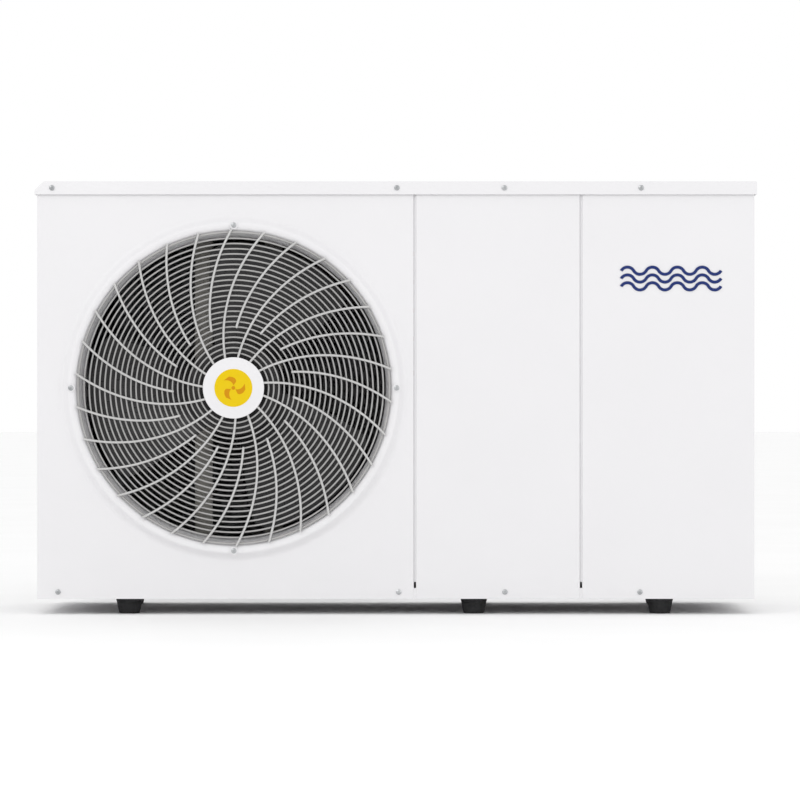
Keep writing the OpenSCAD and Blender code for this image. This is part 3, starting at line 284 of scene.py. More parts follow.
def drawn_metal(name, light, dark, lines=1800, along=(1, 0.02, 1), shine=(0.2, 0.42)):
    """Metal with fine lines along one axis and slow patches of tarnish."""
    material = new_finish(name, Metallic=1.0)
    tree = material.node_tree
    patch = spread(tree, noise(tree, 45, detail=4), 0, 1, 0.35, 0.65)
    line = noise(tree, lines, along, 1)
    mixed = calc(tree, "MULTIPLY_ADD", line, 0.5, calc(tree, "MULTIPLY", patch, 0.5))
    return wear(
        material,
        colour=tones(tree, patch, light, dark),
        roughness=spread(tree, mixed, *shine, 0.2, 0.8),
        height=line,
        depth=0.00002,
    )


def layered_metal(name, light, dark, layers=1300):
    """Rings or layers across Y, such as stacked sheets or wound wire."""
    material = new_finish(name, Metallic=0.9)
    tree = material.node_tree
    values = {"Vector": spot(tree), "Scale": layers / 6.283, "Distortion": 0.3}
    wave = add(tree, "ShaderNodeTexWave", values, bands_direction="Y").node.outputs["Fac"]
    return wear(
        material,
        colour=tones(tree, wave, dark, light),
        roughness=spread(tree, noise(tree, 120), 0.3, 0.5),
        height=wave,
        depth=0.0001,
    )


# %% [markdown]
# Plastics get their look from the mould: a fine even grain on housings, soft flow lines on the
# fan, and chalky unevenness on rubber. Outdoors they also gather a dusty film.


# %% Plastic and rubber finishes
def moulded(name, tone, grain=1400, depth=0.00004, shine=(0.42, 0.6), flow=(1, 1, 1), film=0.12,
            **sockets):
    """Moulded plastic: grain, flow lines and a thin film of dust."""
    material = new_finish(name, **sockets)
    tree = material.node_tree
    dust = spread(tree, noise(tree, 22, detail=4), 0, film, 0.4, 0.8)
    flows = noise(tree, 130, flow)
    pale = [v + (0.55 - v) * 0.5 for v in tone]
    return wear(
        material,
        colour=tones(tree, dust, tone, pale),
        roughness=spread(tree, calc(tree, "MULTIPLY_ADD", dust, 0.6, flows), *shine),
        height=noise(tree, grain),
        depth=depth,
    )


def printed_board(name, mask, track):
    """A circuit board: straight copper tracks under a green mask."""
    material = new_finish(name, Coat_Weight=0.3, Coat_Roughness=0.15)
    tree = material.node_tree
    values = {"Vector": spot(tree, (1, 0, 1)), "Scale": 140, "Randomness": 0.6}
    cells = add(tree, "ShaderNodeTexVoronoi", values, distance="CHEBYCHEV", feature="F1")
    line = spread(tree, calc(tree, "FRACT", calc(tree, "MULTIPLY", cells, 5)), 1, 0, 0.4, 0.5)
    return wear(
        material,
        colour=tones(tree, line, mask, track),
        roughness=spread(tree, line, 0.3, 0.4, 0, 1),
        height=line,
        depth=0.00004,
    )


# %% Every finish by the name of its slot
finishes = {
    "panel_paint": powder_coat("panel_paint", (0.8, 0.793, 0.807), (0.788, 0.781, 0.795),
                               shine=(0.42, 0.54)),
    "wire_coating": powder_coat("wire_coating", (0.58, 0.575, 0.57), (0.52, 0.515, 0.51), 900,
                                0.00008, (0.34, 0.5)),
    # ring_coating: the wire coat darkened, as painted shade on the rings that lie behind the spokes
    "ring_coating": powder_coat("ring_coating", (0.42, 0.415, 0.41), (0.36, 0.355, 0.35), 900,
                                0.00008, (0.45, 0.6)),
    "zinc_sheet": spangle("zinc_sheet", (0.35, 0.34, 0.32), (0.21, 0.2, 0.185)),
    "steel_fastener": drawn_metal("steel_fastener", (0.56, 0.57, 0.58), (0.36, 0.37, 0.38), 3000,
                                  (1, 1, 1), (0.28, 0.45)),
    "black_rubber": moulded("black_rubber", (0.012, 0.012, 0.013), 900, 0.0001, (0.6, 0.85), film=0.06),
    "fan_plastic": moulded("fan_plastic", (0.026, 0.025, 0.026), 2200, 0.00001, (0.24, 0.38), (1, 4, 1),
                           film=0.04, Specular_IOR_Level=0.35, Coat_Weight=0.12, Coat_Roughness=0.15),
    "label_film": moulded("label_film", (0.78, 0.55, 0.003), 1800, 0.00002, (0.4, 0.55), film=0.02,
                          Specular_IOR_Level=0.15),
    "badge_blue": moulded("badge_blue", (0.014, 0.03, 0.15), 1600, 0.00001, (0.3, 0.45), film=0.01,
                          Specular_IOR_Level=0.2),
    "magnet_steel": layered_metal("magnet_steel", (0.42, 0.43, 0.45), (0.2, 0.2, 0.21), 2000),
    "motor_paint": cast_paint("motor_paint", (0.1, 0.105, 0.11)),
    "winding": layered_metal("winding", (0.72, 0.34, 0.16), (0.3, 0.11, 0.05), 1000),
    "fin_aluminium": drawn_metal("fin_aluminium", (0.55, 0.55, 0.56), (0.4, 0.4, 0.42), 1200,
                                 (1, 1, 0.05), (0.3, 0.5)),
    "copper_tube": drawn_metal("copper_tube", (0.8, 0.42, 0.27), (0.36, 0.17, 0.1), 900,
                               (1, 1, 0.05), (0.2, 0.5)),
    "compressor_paint": gloss_black("compressor_paint", (0.012, 0.012, 0.013)),
    "valve_brass": drawn_metal("valve_brass", (0.82, 0.65, 0.33), (0.55, 0.4, 0.18), 2600,
                               (1, 1, 1), (0.22, 0.4)),
    "solenoid_red": moulded("solenoid_red", (0.5, 0.03, 0.025)),
    "pvc_grey": moulded("pvc_grey", (0.2, 0.215, 0.235), 1200, 0.00003, (0.34, 0.5), (1, 0.05, 1)),
    "titanium": drawn_metal("titanium", (0.5, 0.49, 0.48), (0.38, 0.37, 0.37), 1600,
                            (1, 1, 0.1), (0.3, 0.42)),
    "nut_plastic": moulded("nut_plastic", (0.03, 0.033, 0.037), 1500, 0.00006),
    "black_plastic": moulded("black_plastic", (0.018, 0.018, 0.02), 1600, 0.00007, (0.5, 0.66)),
    "paddle_steel": drawn_metal("paddle_steel", (0.64, 0.64, 0.65), (0.52, 0.52, 0.53), 2400,
                                (0.03, 1, 1), (0.2, 0.34)),
    "board_green": printed_board("board_green", (0.006, 0.09, 0.03), (0.02, 0.22, 0.07)),
}
for node, thing in nodes.items():
    thing.data.materials.clear()
    thing.data.materials.append(finishes[slot_of[node]])
print("finishes:", len(finishes))


# %% Floor
def pale_floor():
    """A wide round floor. Beyond it the white room goes on."""
    reach, steps = 40.0, 96
    turns = [2 * math.pi * k / steps for k in range(steps)]
    edge = [(reach * math.cos(a), reach * math.sin(a), 0) for a in turns]
    mesh = bpy.data.meshes.new("floor")
    mesh.from_pydata(edge, [], [tuple(range(steps))])
    floor = bpy.data.objects.new("floor", mesh)
    bpy.context.scene.collection.objects.link(floor)
    paint = new_finish("floor_paint", Specular_IOR_Level=0.2)
    tree = paint.node_tree
    wear(
        paint,
        colour=tones(tree, spread(tree, noise(tree, 3), 0, 1), (0.95, 0.95, 0.95), (0.97, 0.97, 0.97)),
        roughness=spread(tree, noise(tree, 20), 0.7, 0.85),
    )
    mesh.materials.append(paint)
    floor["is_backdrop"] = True


pale_floor()

# %% [markdown]
# New pieces come from a few makers. One turns lists of points and faces into a piece. One spins
# a profile around an axis. One bends an outline the way a press brake bends sheet, with a true
# radius at each fold. One takes a CAD part, merges its loose triangles and rounds its edges,
# which is enough for parts whose shape is right but too sharp. Last, one finds the separate
# solids of a CAD node, so that the places of screws and feet come from the frame.

# %% Makers
smooth_limit = math.radians(32)
same_place = 2e-6


def settle(piece, node, *also):
    """Gives a finished piece the finish of its CAD node's slot and that node's body, and hides the CAD nodes it
    stands for.
    """
    piece.data.materials.clear()
    piece.data.materials.append(finishes[slot_of[node]])
    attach(piece, rides_on[node])
    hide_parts(node, *also)
    print(piece.name, "faces:", len(piece.data.polygons))
    return piece


def make(name, verts, faces, merge=True):
    """A mesh piece with its normals outwards, smooth where it curves and sharp at its edges."""
    mesh = bpy.data.meshes.new(name)
    mesh.from_pydata([tuple(v) for v in verts], [], faces)
    shell = bmesh.new()
    shell.from_mesh(mesh)
    if merge:
        bmesh.ops.remove_doubles(shell, verts=shell.verts, dist=1e-6)
    bmesh.ops.recalc_face_normals(shell, faces=shell.faces)
    shell.to_mesh(mesh)
    shell.free()
    mesh.shade_smooth()
    mesh.set_sharp_from_angle(angle=smooth_limit)
    piece = bpy.data.objects.new(name, mesh)
    bpy.context.scene.collection.objects.link(piece)
    return piece


def bake(piece):
    """Applies a piece's modifiers, so that only a plain mesh is left."""
    graph = bpy.context.evaluated_depsgraph_get()
    mesh = bpy.data.meshes.new_from_object(piece.evaluated_get(graph), depsgraph=graph)
    piece.modifiers.clear()
    piece.data = mesh
    return piece


def round_edges(piece, width, segments=2, angle=40):
    """Small round edges that catch the light, as on real parts."""
    bevel = piece.modifiers.new("edges", "BEVEL")
    bevel.width = width
    bevel.segments = segments
    bevel.limit_method = "ANGLE"
    bevel.angle_limit = math.radians(angle)
    bevel.harden_normals = True
    return bake(piece)


def refine(node, width=0.4 * MM, name=None):
    """A copy of a CAD part with merged faces and rounded edges, which stands for the part."""
    shell = bmesh.new()
    shell.from_mesh(nodes[node].data)
    bmesh.ops.remove_doubles(shell, verts=shell.verts, dist=same_place)
    bmesh.ops.dissolve_limit(
        shell, angle_limit=math.radians(0.5), verts=shell.verts, edges=shell.edges
    )
    mesh = bpy.data.meshes.new(name or node + "_finished")
    shell.to_mesh(mesh)
    shell.free()
    mesh.shade_smooth()
    mesh.set_sharp_from_angle(angle=smooth_limit)
    piece = bpy.data.objects.new(name or node + "_finished", mesh)
    bpy.context.scene.collection.objects.link(piece)
    return settle(round_edges(piece, width), node)


def spin(profile, steps, turn=Matrix.Identity(4)):
    """Points and faces of a profile of (radius, height) turned about Z, then placed."""
    verts, faces = [], []
    for k in range(steps):
        a = 2 * math.pi * k / steps
        verts += [turn @ Vector((r * math.cos(a), r * math.sin(a), z)) for r, z in profile]
    n = len(profile)
    for k in range(steps):
        for i in range(n - 1):
            a, b = k * n + i, (k + 1) % steps * n + i
            faces.append((a, b, b + 1, a + 1))
    return verts, faces


def gather(parts):
    """Joins several (points, faces) pairs into one."""
    verts, faces = [], []
    for more_verts, more_faces in parts:
        start = len(verts)
        verts += more_verts
        faces += [tuple(i + start for i in face) for face in more_faces]
    return verts, faces


def solids_of(node):
    """The low and high corners of each separate solid in a CAD node."""
    shell = bmesh.new()
    shell.from_mesh(nodes[node].data)
    bmesh.ops.remove_doubles(shell, verts=shell.verts, dist=same_place)
    boxes, left = [], set(shell.verts)
    while left:
        group, edge = set(), [left.pop()]
        while edge:
            vert = edge.pop()
            group.add(vert)
            near = {e.other_vert(vert) for e in vert.link_edges} & left
            left -= near
            edge += near
        points = np.array([v.co for v in group])
        boxes.append((Vector(points.min(0)), Vector(points.max(0))))
    shell.free()
    return sorted(boxes, key=lambda box: tuple(round(v, 4) for v in box[0]))


# %% [markdown]
# The case is bent sheet steel, 1.2 mm thick. What tells sheet from a solid block is its folds:
# each has a radius of about two millimetres, and the light rolls over it. So the flat panels are
# an outline with arcs at the folds, drawn once from above and pulled up to the panel's height.

# %% Folded front panels
sheet = 1.2 * MM
fold_r = 2.2 * MM
fold_depth = 15 * MM
lip_w = 3.3 * MM
lip_back = 3 * MM
lip_from = 28 * MM


def bent_outline(corners, radius=fold_r, thick=sheet, steps=6):
    """The closed outline of a bent sheet whose outer face follows the corners, inside to the left."""
    corners = [Vector(c) for c in corners]
    outer, inner = [], []
    for i, here in enumerate(corners):
        if i in (0, len(corners) - 1):
            way = (corners[1] - here if i == 0 else here - corners[-2]).normalized()
            outer.append(here)
            inner.append(here + Vector((-way.y, way.x)) * thick)
            continue
        back, ahead = (corners[i - 1] - here).normalized(), (corners[i + 1] - here).normalized()
        half = back.angle(ahead) / 2
        centre = here + (back + ahead).normalized() * radius / math.sin(half)
        first = (here + back * radius / math.tan(half) - centre).normalized()
        last = (here + ahead * radius / math.tan(half) - centre).normalized()
        for k in range(steps + 1):
            way = first.slerp(last, k / steps)
            outer.append(centre + way * radius)
            inner.append(centre + way * (radius - thick))
    return outer + inner[::-1]


def pull(outline, place):
    """Side walls and end caps of an outline between two places; place(point, end) gives each vertex."""
    n = len(outline)
    verts = [place(p, end) for end in (0, 1) for p in outline]
    walls = [(i, (i + 1) % n, n + (i + 1) % n, n + i) for i in range(n)]
    return verts, walls + [tuple(range(n)), tuple(range(2 * n - 1, n - 1, -1))]


def upright(low, high):
    """Places an outline seen from above between two heights."""
    return lambda p, end: Vector((p.x, p.y, high if end else low))


def folded_panel(node):
    """A front panel: flat face, both side edges folded back, and a lip that closes the gap."""
    low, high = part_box(node)
    face_left = low.x + lip_w
    deep = low.y + fold_depth
    outline = bent_outline([(face_left, deep), (face_left, low.y), (high.x, low.y), (high.x, deep)])
    face = pull(outline, upright(low.z, high.z))
    lip_right, lip_front = face_left + sheet, low.y + lip_back
    lip = [(low.x, lip_front), (lip_right, lip_front), (lip_right, lip_front + sheet),
           (low.x, lip_front + sheet)]
    lip = pull([Vector(p) for p in lip], upright(low.z + lip_from, high.z - sheet))
    piece = make(node + "_sheet", *gather([face, lip]))
    return settle(round_edges(piece, 0.3 * MM, 1), node)


folded_panel("front_middle_panel")
folded_panel("front_right_panel")

# %% [markdown]
# The fan panel is one sheet with a ring pressed into it. The ring swells forward, rolls over a
# crest and runs back as the throat that the fan turns in. In section it is one smooth line of
# radius and height, so the panel is made of rows of points at equal angles: first the sheet's own
# outline, a rectangle less the corner under the cover's slope, then circles that follow the line.
# Solidify gives it the sheet's thickness. Its folded sides start at the flat sheet, not at the
# ring's crest, which is why their place comes from front_y and not from the node's box.

# %% Fan panel with its pressed ring
fan_x, _, fan_z = hinge["fan_spin"]
rim_r = 273 * MM
rim_h = 11 * MM
rim_foot_w = 18 * MM
rim_foot_r = rim_r + rim_foot_w
throat_r = 253 * MM
throat_end = -68 * MM
corner_cut = 18 * MM
at_fan = Matrix.Translation((fan_x, front_y, fan_z)) @ Matrix.Rotation(math.radians(90), 4, "X")


def rim_line():
    """Radius and height of the pressed ring, from the flat sheet to the throat's end."""
    swell = [
        (rim_foot_r - rim_foot_w * s, rim_h * math.sin(math.pi / 2 * s ** 1.5) ** 2)
        for s in np.linspace(0, 0.97, 22)
    ]
    roll_deep = 24 * MM
    roll = [
        (rim_r - (rim_r - throat_r) * math.sin(a), rim_h - roll_deep * (1 - math.cos(a)))
        for a in np.linspace(0.06, math.pi / 2, 16)
    ]
    return swell + roll + [(throat_r, z) for z in np.linspace(-20 * MM, throat_end, 6)]


def on_outline(angle, low, high):
    """The panel's edge at an angle round the fan: a rectangle less the corner under the cover's facet."""
    c, s = math.cos(angle), math.sin(angle)
    sides = [(c, high.x), (-c, -low.x), (s, high.y), (-s, -low.y), (s - c, high.y - low.x - corner_cut)]
    reach = min(far / slope for slope, far in sides if slope > 1e-9)
    return reach * c, reach * s


def fan_panel():
    """The pressed face as one skin of rows of points, and its two folded sides."""
    low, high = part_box("front_fan_panel")
    low_xy = Vector((low.x + fold_r - fan_x, low.z - fan_z))
    high_xy = Vector((high.x - fold_r - fan_x, high.z - fan_z))
    corners = [
        (low_xy.x, low_xy.y), (high_xy.x, low_xy.y), (high_xy.x, high_xy.y),
        (low_xy.x + corner_cut, high_xy.y), (low_xy.x, high_xy.y - corner_cut),
    ]
    corner_angles = [math.atan2(y, x) for x, y in corners]
    angles = sorted(list(np.linspace(-math.pi, math.pi, 288, endpoint=False)) + corner_angles)
    line = rim_line()
    n = len(line) + 2
    verts, faces = [], []
    for a in angles:
        edge = Vector(on_outline(a, low_xy, high_xy))
        flat = Vector((math.cos(a), math.sin(a))) * (rim_foot_r + 3 * MM)
        verts += [Vector((*edge, 0)), Vector((*flat, 0))]
        verts += [Vector((r * math.cos(a), r * math.sin(a), z)) for r, z in line]
    verts = [at_fan @ v for v in verts]
    for k in range(len(angles)):
        for i in range(n - 1):
            a, b = k * n + i, (k + 1) % len(angles) * n + i
            faces.append((a, b, b + 1, a + 1))
    face = make("face", verts, faces)
    thick = face.modifiers.new("sheet", "SOLIDIFY")
    thick.thickness = sheet
    thick.offset = -1 if face.data.polygons[0].normal.y < 0 else 1
    bake(face)
    sides = []
    for x, way, top in ((low.x, 1, high.z - corner_cut), (high.x, -1, high.z)):
        corners = [(x, front_y + fold_depth), (x, front_y), (x + way * fold_r, front_y)]
        outline = bent_outline(corners if way > 0 else corners[::-1])
        sides.append(pull(outline, upright(low.z, top)))
    mesh = face.data
    skin = [v.co.copy() for v in mesh.vertices], [tuple(p.vertices) for p in mesh.polygons]
    bpy.data.objects.remove(face)
    piece = make("front_fan_panel_pressed", *gather([skin, *sides]), merge=False)
    return settle(piece, "front_fan_panel")


fan_panel()

# %% [markdown]
# The cover is a shallow tray turned upside down. Its front, rear and side edges are folded down,
# and its left edge has a sloped facet. A prism with that section, its edges rounded and its
# underside left open, becomes a tray when Solidify gives it the sheet's thickness.

# %% Top cover
facet = 15 * MM


def cover():
    """The tray: its section pulled from front to rear, edges rounded, then walls."""
    low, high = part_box("top_cover")
    section = [
        (low.x, low.z), (high.x, low.z), (high.x, high.z), (low.x + facet, high.z), (low.x, high.z - facet)
    ]
    n = len(section)
    verts = [(x, y, z) for y in (low.y, high.y) for x, z in section]
    faces = [(i, i + 1, n + i + 1, n + i) for i in range(1, n - 1)] + [(n - 1, 0, n, 2 * n - 1)]
    faces += [tuple(range(n)), tuple(range(2 * n - 1, n - 1, -1))]
    tray = make("top_cover_folded", verts, faces)
    edges = tray.modifiers.new("folds", "BEVEL")
    edges.width = 2 * MM
    edges.segments = 4
    edges.limit_method = "ANGLE"
    edges.angle_limit = math.radians(20)
    wall = tray.modifiers.new("sheet", "SOLIDIFY")
    wall.thickness = sheet
    wall.offset = -1
    bake(tray)
    tray.data.set_sharp_from_angle(angle=math.radians(50))
    return settle(tray, "top_cover")


cover()

# %% [markdown]
# The guard is welded from wire. Thin rings sit one behind another at a fixed pitch, so that no
# finger fits between them, and curved spokes lie over them. A rule gives every place, so this is
# work for Geometry Nodes: rings are instances of one circle, spokes are instances of one line,
# and a Set Position node lays them all on a shallow dome. Each crossing gets a small weld.

# %% Geometry Nodes helpers
SOCKETS = {float: "NodeSocketFloat", int: "NodeSocketInt", bpy.types.Material: "NodeSocketMaterial"}


def new_tree(name, **inputs):
    """A Geometry Nodes tree with named inputs: the tree and its input sockets by name."""
    tree = bpy.data.node_groups.new(name, "GeometryNodeTree")
    tree.interface.new_socket("Geometry", in_out="OUTPUT", socket_type="NodeSocketGeometry")
    for label, value in {**inputs, "finish": bpy.types.Material}.items():
        kind = SOCKETS[value if isinstance(value, type) else type(value)]
        socket = tree.interface.new_socket(label, in_out="INPUT", socket_type=kind)
        if not isinstance(value, type):
            socket.default_value = value
    entry = tree.nodes.new("NodeGroupInput")
    return tree, {socket.name: socket for socket in entry.outputs}


def close_tree(tree, shape, given, smooth=True):
    """Ends a tree: real geometry, its shading and its finish."""
    real = add(tree, "GeometryNodeRealizeInstances", {0: shape})
    shaded = add(tree, "GeometryNodeSetShadeSmooth", {"Geometry": real, "Shade Smooth": smooth})
    done = add(tree, "GeometryNodeSetMaterial", {"Geometry": shaded, "Material": given["finish"]})
    tree.links.new(done, tree.nodes.new("NodeGroupOutput").inputs[0])


def grow(name, tree, node, *also, **inputs):
    """Runs a tree with its inputs set, keeps the result as a plain mesh, and settles it."""
    piece = bpy.data.objects.new(name, bpy.data.meshes.new(name))
    bpy.context.scene.collection.objects.link(piece)
    work = piece.modifiers.new("grow", "NODES")
    work.node_group = tree
    wanted = {**inputs, "finish": finishes[slot_of[node]]}
    for item in tree.interface.items_tree:
        if item.in_out == "INPUT" and item.name in wanted:
            work[item.identifier] = wanted[item.name]
    return settle(bake(piece), node, *also)


def vector(tree, x=0.0, y=0.0, z=0.0):
    """A vector from numbers or sockets."""
    return add(tree, "ShaderNodeCombineXYZ", {0: x, 1: y, 2: z})


def to_fan(tree, shape):
    """Turns a shape whose Z points out of the panel and moves it to the fan."""
    values = {"Geometry": shape, "Translation": (fan_x, front_y, fan_z),
              "Rotation": (math.radians(90), 0, 0)}
    return add(tree, "GeometryNodeTransform", values)


def wire_of(tree, curve, diameter, sides=10):
    """A round wire along a curve."""
    values = {"Resolution": sides, "Radius": calc(tree, "MULTIPLY", diameter, 0.5)}
    profile = add(tree, "GeometryNodeCurvePrimitiveCircle", values)
    return add(tree, "GeometryNodeCurveToMesh", {"Curve": curve, "Profile Curve": profile, "Fill Caps": True})


# %% Guard rings and spokes
guard_edge_r = 270 * MM
dome_h = 10 * MM
spoke_wire = 3.8 * MM
ring_wire = 2.8 * MM
outer_wire = 4 * MM
ring_r0 = 58.3 * MM
ring_pitch = 8.667 * MM
ring_count = 23
outer_ring_r = 259.2 * MM
spoke_edge_z = rim_h + 0.1 * MM + spoke_wire / 2
spoke_twist = math.radians(0.126) / MM
spoke_pairs = 15
dome_r = (guard_edge_r ** 2 + dome_h ** 2) / (2 * dome_h)


def dome_height(tree, radius):
    """The spokes' height over the panel at a radius: a shallow dome."""
    square = calc(tree, "MULTIPLY_ADD", radius, radius, -dome_r ** 2)
    root = calc(tree, "SQRT", calc(tree, "MULTIPLY", square, -1.0))
    return calc(tree, "ADD", root, spoke_edge_z + dome_h - dome_r)


def rings_tree():
    """Thin rings at a fixed pitch, and the thicker ring that ends the guard."""
    tree, given = new_tree(
        "guard_rings", count=ring_count, first=ring_r0, pitch=ring_pitch, wire=ring_wire,
        outer_radius=outer_ring_r, outer_wire=outer_wire, drop=(spoke_wire + ring_wire) / 2,
    )
    index = add(tree, "GeometryNodeInputIndex")
    radius = calc(tree, "MULTIPLY_ADD", index, given["pitch"], given["first"])
    height = calc(tree, "SUBTRACT", dome_height(tree, radius), given["drop"])
    points = add(tree, "GeometryNodeMeshLine", {"Count": given["count"]})
    points = add(tree, "GeometryNodeSetPosition", {"Geometry": points, "Position": vector(tree, z=height)})
    circle = add(tree, "GeometryNodeCurvePrimitiveCircle", {"Resolution": 200, "Radius": 1.0})
    size = vector(tree, radius, radius, 1.0)
    rings = add(tree, "GeometryNodeInstanceOnPoints", {"Points": points, "Instance": circle, "Scale": size})
    thin = wire_of(tree, add(tree, "GeometryNodeRealizeInstances", {0: rings}), given["wire"], 8)
    rim = add(tree, "GeometryNodeCurvePrimitiveCircle", {"Resolution": 240, "Radius": given["outer_radius"]})
    rim_drop = calc(tree, "MULTIPLY_ADD", given["outer_wire"], -0.5, dome_height(tree, given["outer_radius"]))
    rim = add(tree, "GeometryNodeTransform", {
        "Geometry": wire_of(tree, rim, given["outer_wire"]),
        "Translation": vector(tree, z=calc(tree, "SUBTRACT", rim_drop, spoke_wire / 2)),
    })
    close_tree(tree, to_fan(tree, add(tree, "GeometryNodeJoinGeometry", {0: [thin, rim]})), given)
    return tree


grow("guard_rings_round", rings_tree(), "guard_rings")


def spoke_set(tree, count, start_r, end_r, first_angle, wire):
    """Equal spokes round the fan, from one radius to another, swept back as they go in."""
    share = add(tree, "GeometryNodeSplineParameter").node.outputs["Factor"]
    radius = calc(tree, "MULTIPLY_ADD", calc(tree, "SUBTRACT", end_r, start_r), share, start_r)
    angle = calc(tree, "MULTIPLY", calc(tree, "SUBTRACT", guard_edge_r, radius), spoke_twist)
    along = vector(
        tree,
        calc(tree, "MULTIPLY", radius, calc(tree, "COSINE", angle)),
        calc(tree, "MULTIPLY", radius, calc(tree, "SINE", angle)),
        dome_height(tree, radius),
    )
    line = add(tree, "GeometryNodeCurvePrimitiveLine", {"End": (1, 0, 0)})
    line = add(tree, "GeometryNodeResampleCurve", {"Curve": line, "Count": 44})
    line = add(tree, "GeometryNodeSetPosition", {"Geometry": line, "Position": along})
    spoke = wire_of(tree, line, wire)
    index = add(tree, "GeometryNodeInputIndex")
    turn = calc(tree, "MULTIPLY_ADD", index, 2 * math.pi / count, first_angle)
    places = add(tree, "GeometryNodeMeshLine", {"Count": count, "Offset": (0, 0, 0)})
    values = {"Points": places, "Instance": spoke, "Rotation": vector(tree, z=turn)}
    return add(tree, "GeometryNodeInstanceOnPoints", values)


def weld_set(tree, count, start_r, rings, first_angle):
    """A flattened bead at every crossing of a spoke set with the rings from a radius outwards."""
    total = count * rings
    index = add(tree, "GeometryNodeInputIndex")
    ring = calc(tree, "FLOOR", calc(tree, "DIVIDE", calc(tree, "ADD", index, 0.5), float(count)))
    radius = calc(tree, "MULTIPLY_ADD", ring, ring_pitch, start_r)
    turn = calc(tree, "MULTIPLY_ADD", index, 2 * math.pi / count, first_angle)
    swept = calc(tree, "MULTIPLY", calc(tree, "SUBTRACT", guard_edge_r, radius), spoke_twist)
    angle = calc(tree, "ADD", turn, swept)
    low = calc(tree, "SUBTRACT", dome_height(tree, radius), spoke_wire * 0.42)
    place = vector(
        tree,
        calc(tree, "MULTIPLY", radius, calc(tree, "COSINE", angle)),
        calc(tree, "MULTIPLY", radius, calc(tree, "SINE", angle)),
        low,
    )
    points = add(tree, "GeometryNodeMeshLine", {"Count": total})
    points = add(tree, "GeometryNodeSetPosition", {"Geometry": points, "Position": place})
    bead = add(tree, "GeometryNodeMeshIcoSphere", {"Radius": spoke_wire * 0.62, "Subdivisions": 2})
    values = {"Points": points, "Instance": bead, "Scale": (1.0, 1.0, 0.72)}
    return add(tree, "GeometryNodeInstanceOnPoints", values)


def spokes_tree():
    """Long and short spokes in turn, with a weld at each crossing."""
    tree, given = new_tree("guard_spokes", long_start=39 * MM, end=guard_edge_r - 6.2 * MM, wire=spoke_wire)
    gap = math.radians(360 / spoke_pairs)
    quarter = math.pi / 2
    short_ring = 5
    short_r = ring_r0 + short_ring * ring_pitch
    parts = [
        spoke_set(tree, spoke_pairs, given["long_start"], given["end"], quarter + gap / 2, given["wire"]),
        spoke_set(tree, spoke_pairs, short_r, given["end"], quarter, given["wire"]),
        weld_set(tree, spoke_pairs, ring_r0, ring_count, quarter + gap / 2),
        weld_set(tree, spoke_pairs, short_r, ring_count - short_ring, quarter),
    ]
    close_tree(tree, to_fan(tree, add(tree, "GeometryNodeJoinGeometry", {0: parts})), given)
    return tree


grow("guard_spokes_welded", spokes_tree(), "guard_spokes")

# %% [markdown]
# The middle of the guard is a round plate, pressed with a shallow step, and on it a round label.
# Turned parts like this are one profile spun about the fan's axis. A real label carries a printed
# sign. This one carries a plain three-blade fan sign, as raised ink two tenths of a millimetre
# thick, because a plain symbol needs no words.

# %% Hub plate and edge plates
label_low, label_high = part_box("guard_label")
hub_plate_r = 51 * MM
hub_plate_front = front_y - label_high.y
hub_plate_rear = hub_plate_front - 2 * MM


def guard_plates():
    """The round hub plate, and the four small plates that the screws hold."""
    front, rear = hub_plate_front, hub_plate_rear
    step = 0.7 * MM
    profile = [(0, front), (hub_plate_r - 9 * MM, front)]
    profile += [(hub_plate_r - 7 * MM, front - step), (hub_plate_r - 2.5 * MM, front - step)]
    profile += [
        (hub_plate_r - 1.3 * MM + 1.3 * MM * math.sin(a), front - step - 1.3 * MM * (1 - math.cos(a)))
        for a in np.linspace(0.3, math.pi / 2, 5)
    ]
    profile += [(hub_plate_r, rear), (0, rear)]
    parts = [spin(profile, 96, at_fan)]
    tab_low, tab_r, hole_r, soft = rim_h + 0.1 * MM, 7 * MM, 2.2 * MM, 0.3 * MM
    tab_top = tab_low + 1.2 * MM
    ring = [(tab_r, tab_low), (tab_r, tab_top - soft), (tab_r - soft, tab_top),
            (hole_r, tab_top), (hole_r, tab_low), (tab_r, tab_low)]
    for quarter in range(4):
        turn = Matrix.Rotation(quarter * math.pi / 2, 4, "Z")
        parts.append(spin(ring, 28, at_fan @ turn @ Matrix.Translation((guard_edge_r + 1 * MM, 0, 0))))
    return settle(make("guard_plates_pressed", *gather(parts)), "guard_plates")


guard_plates()


# %% Label with a plain fan sign
def flat_sign(outline, low, high):
    """A thin raised shape from a closed outline of local X and Y."""
    points = [Vector(p) for p in outline]
    return pull(points, lambda p, end: at_fan @ Vector((p.x, p.y, high if end else low)))


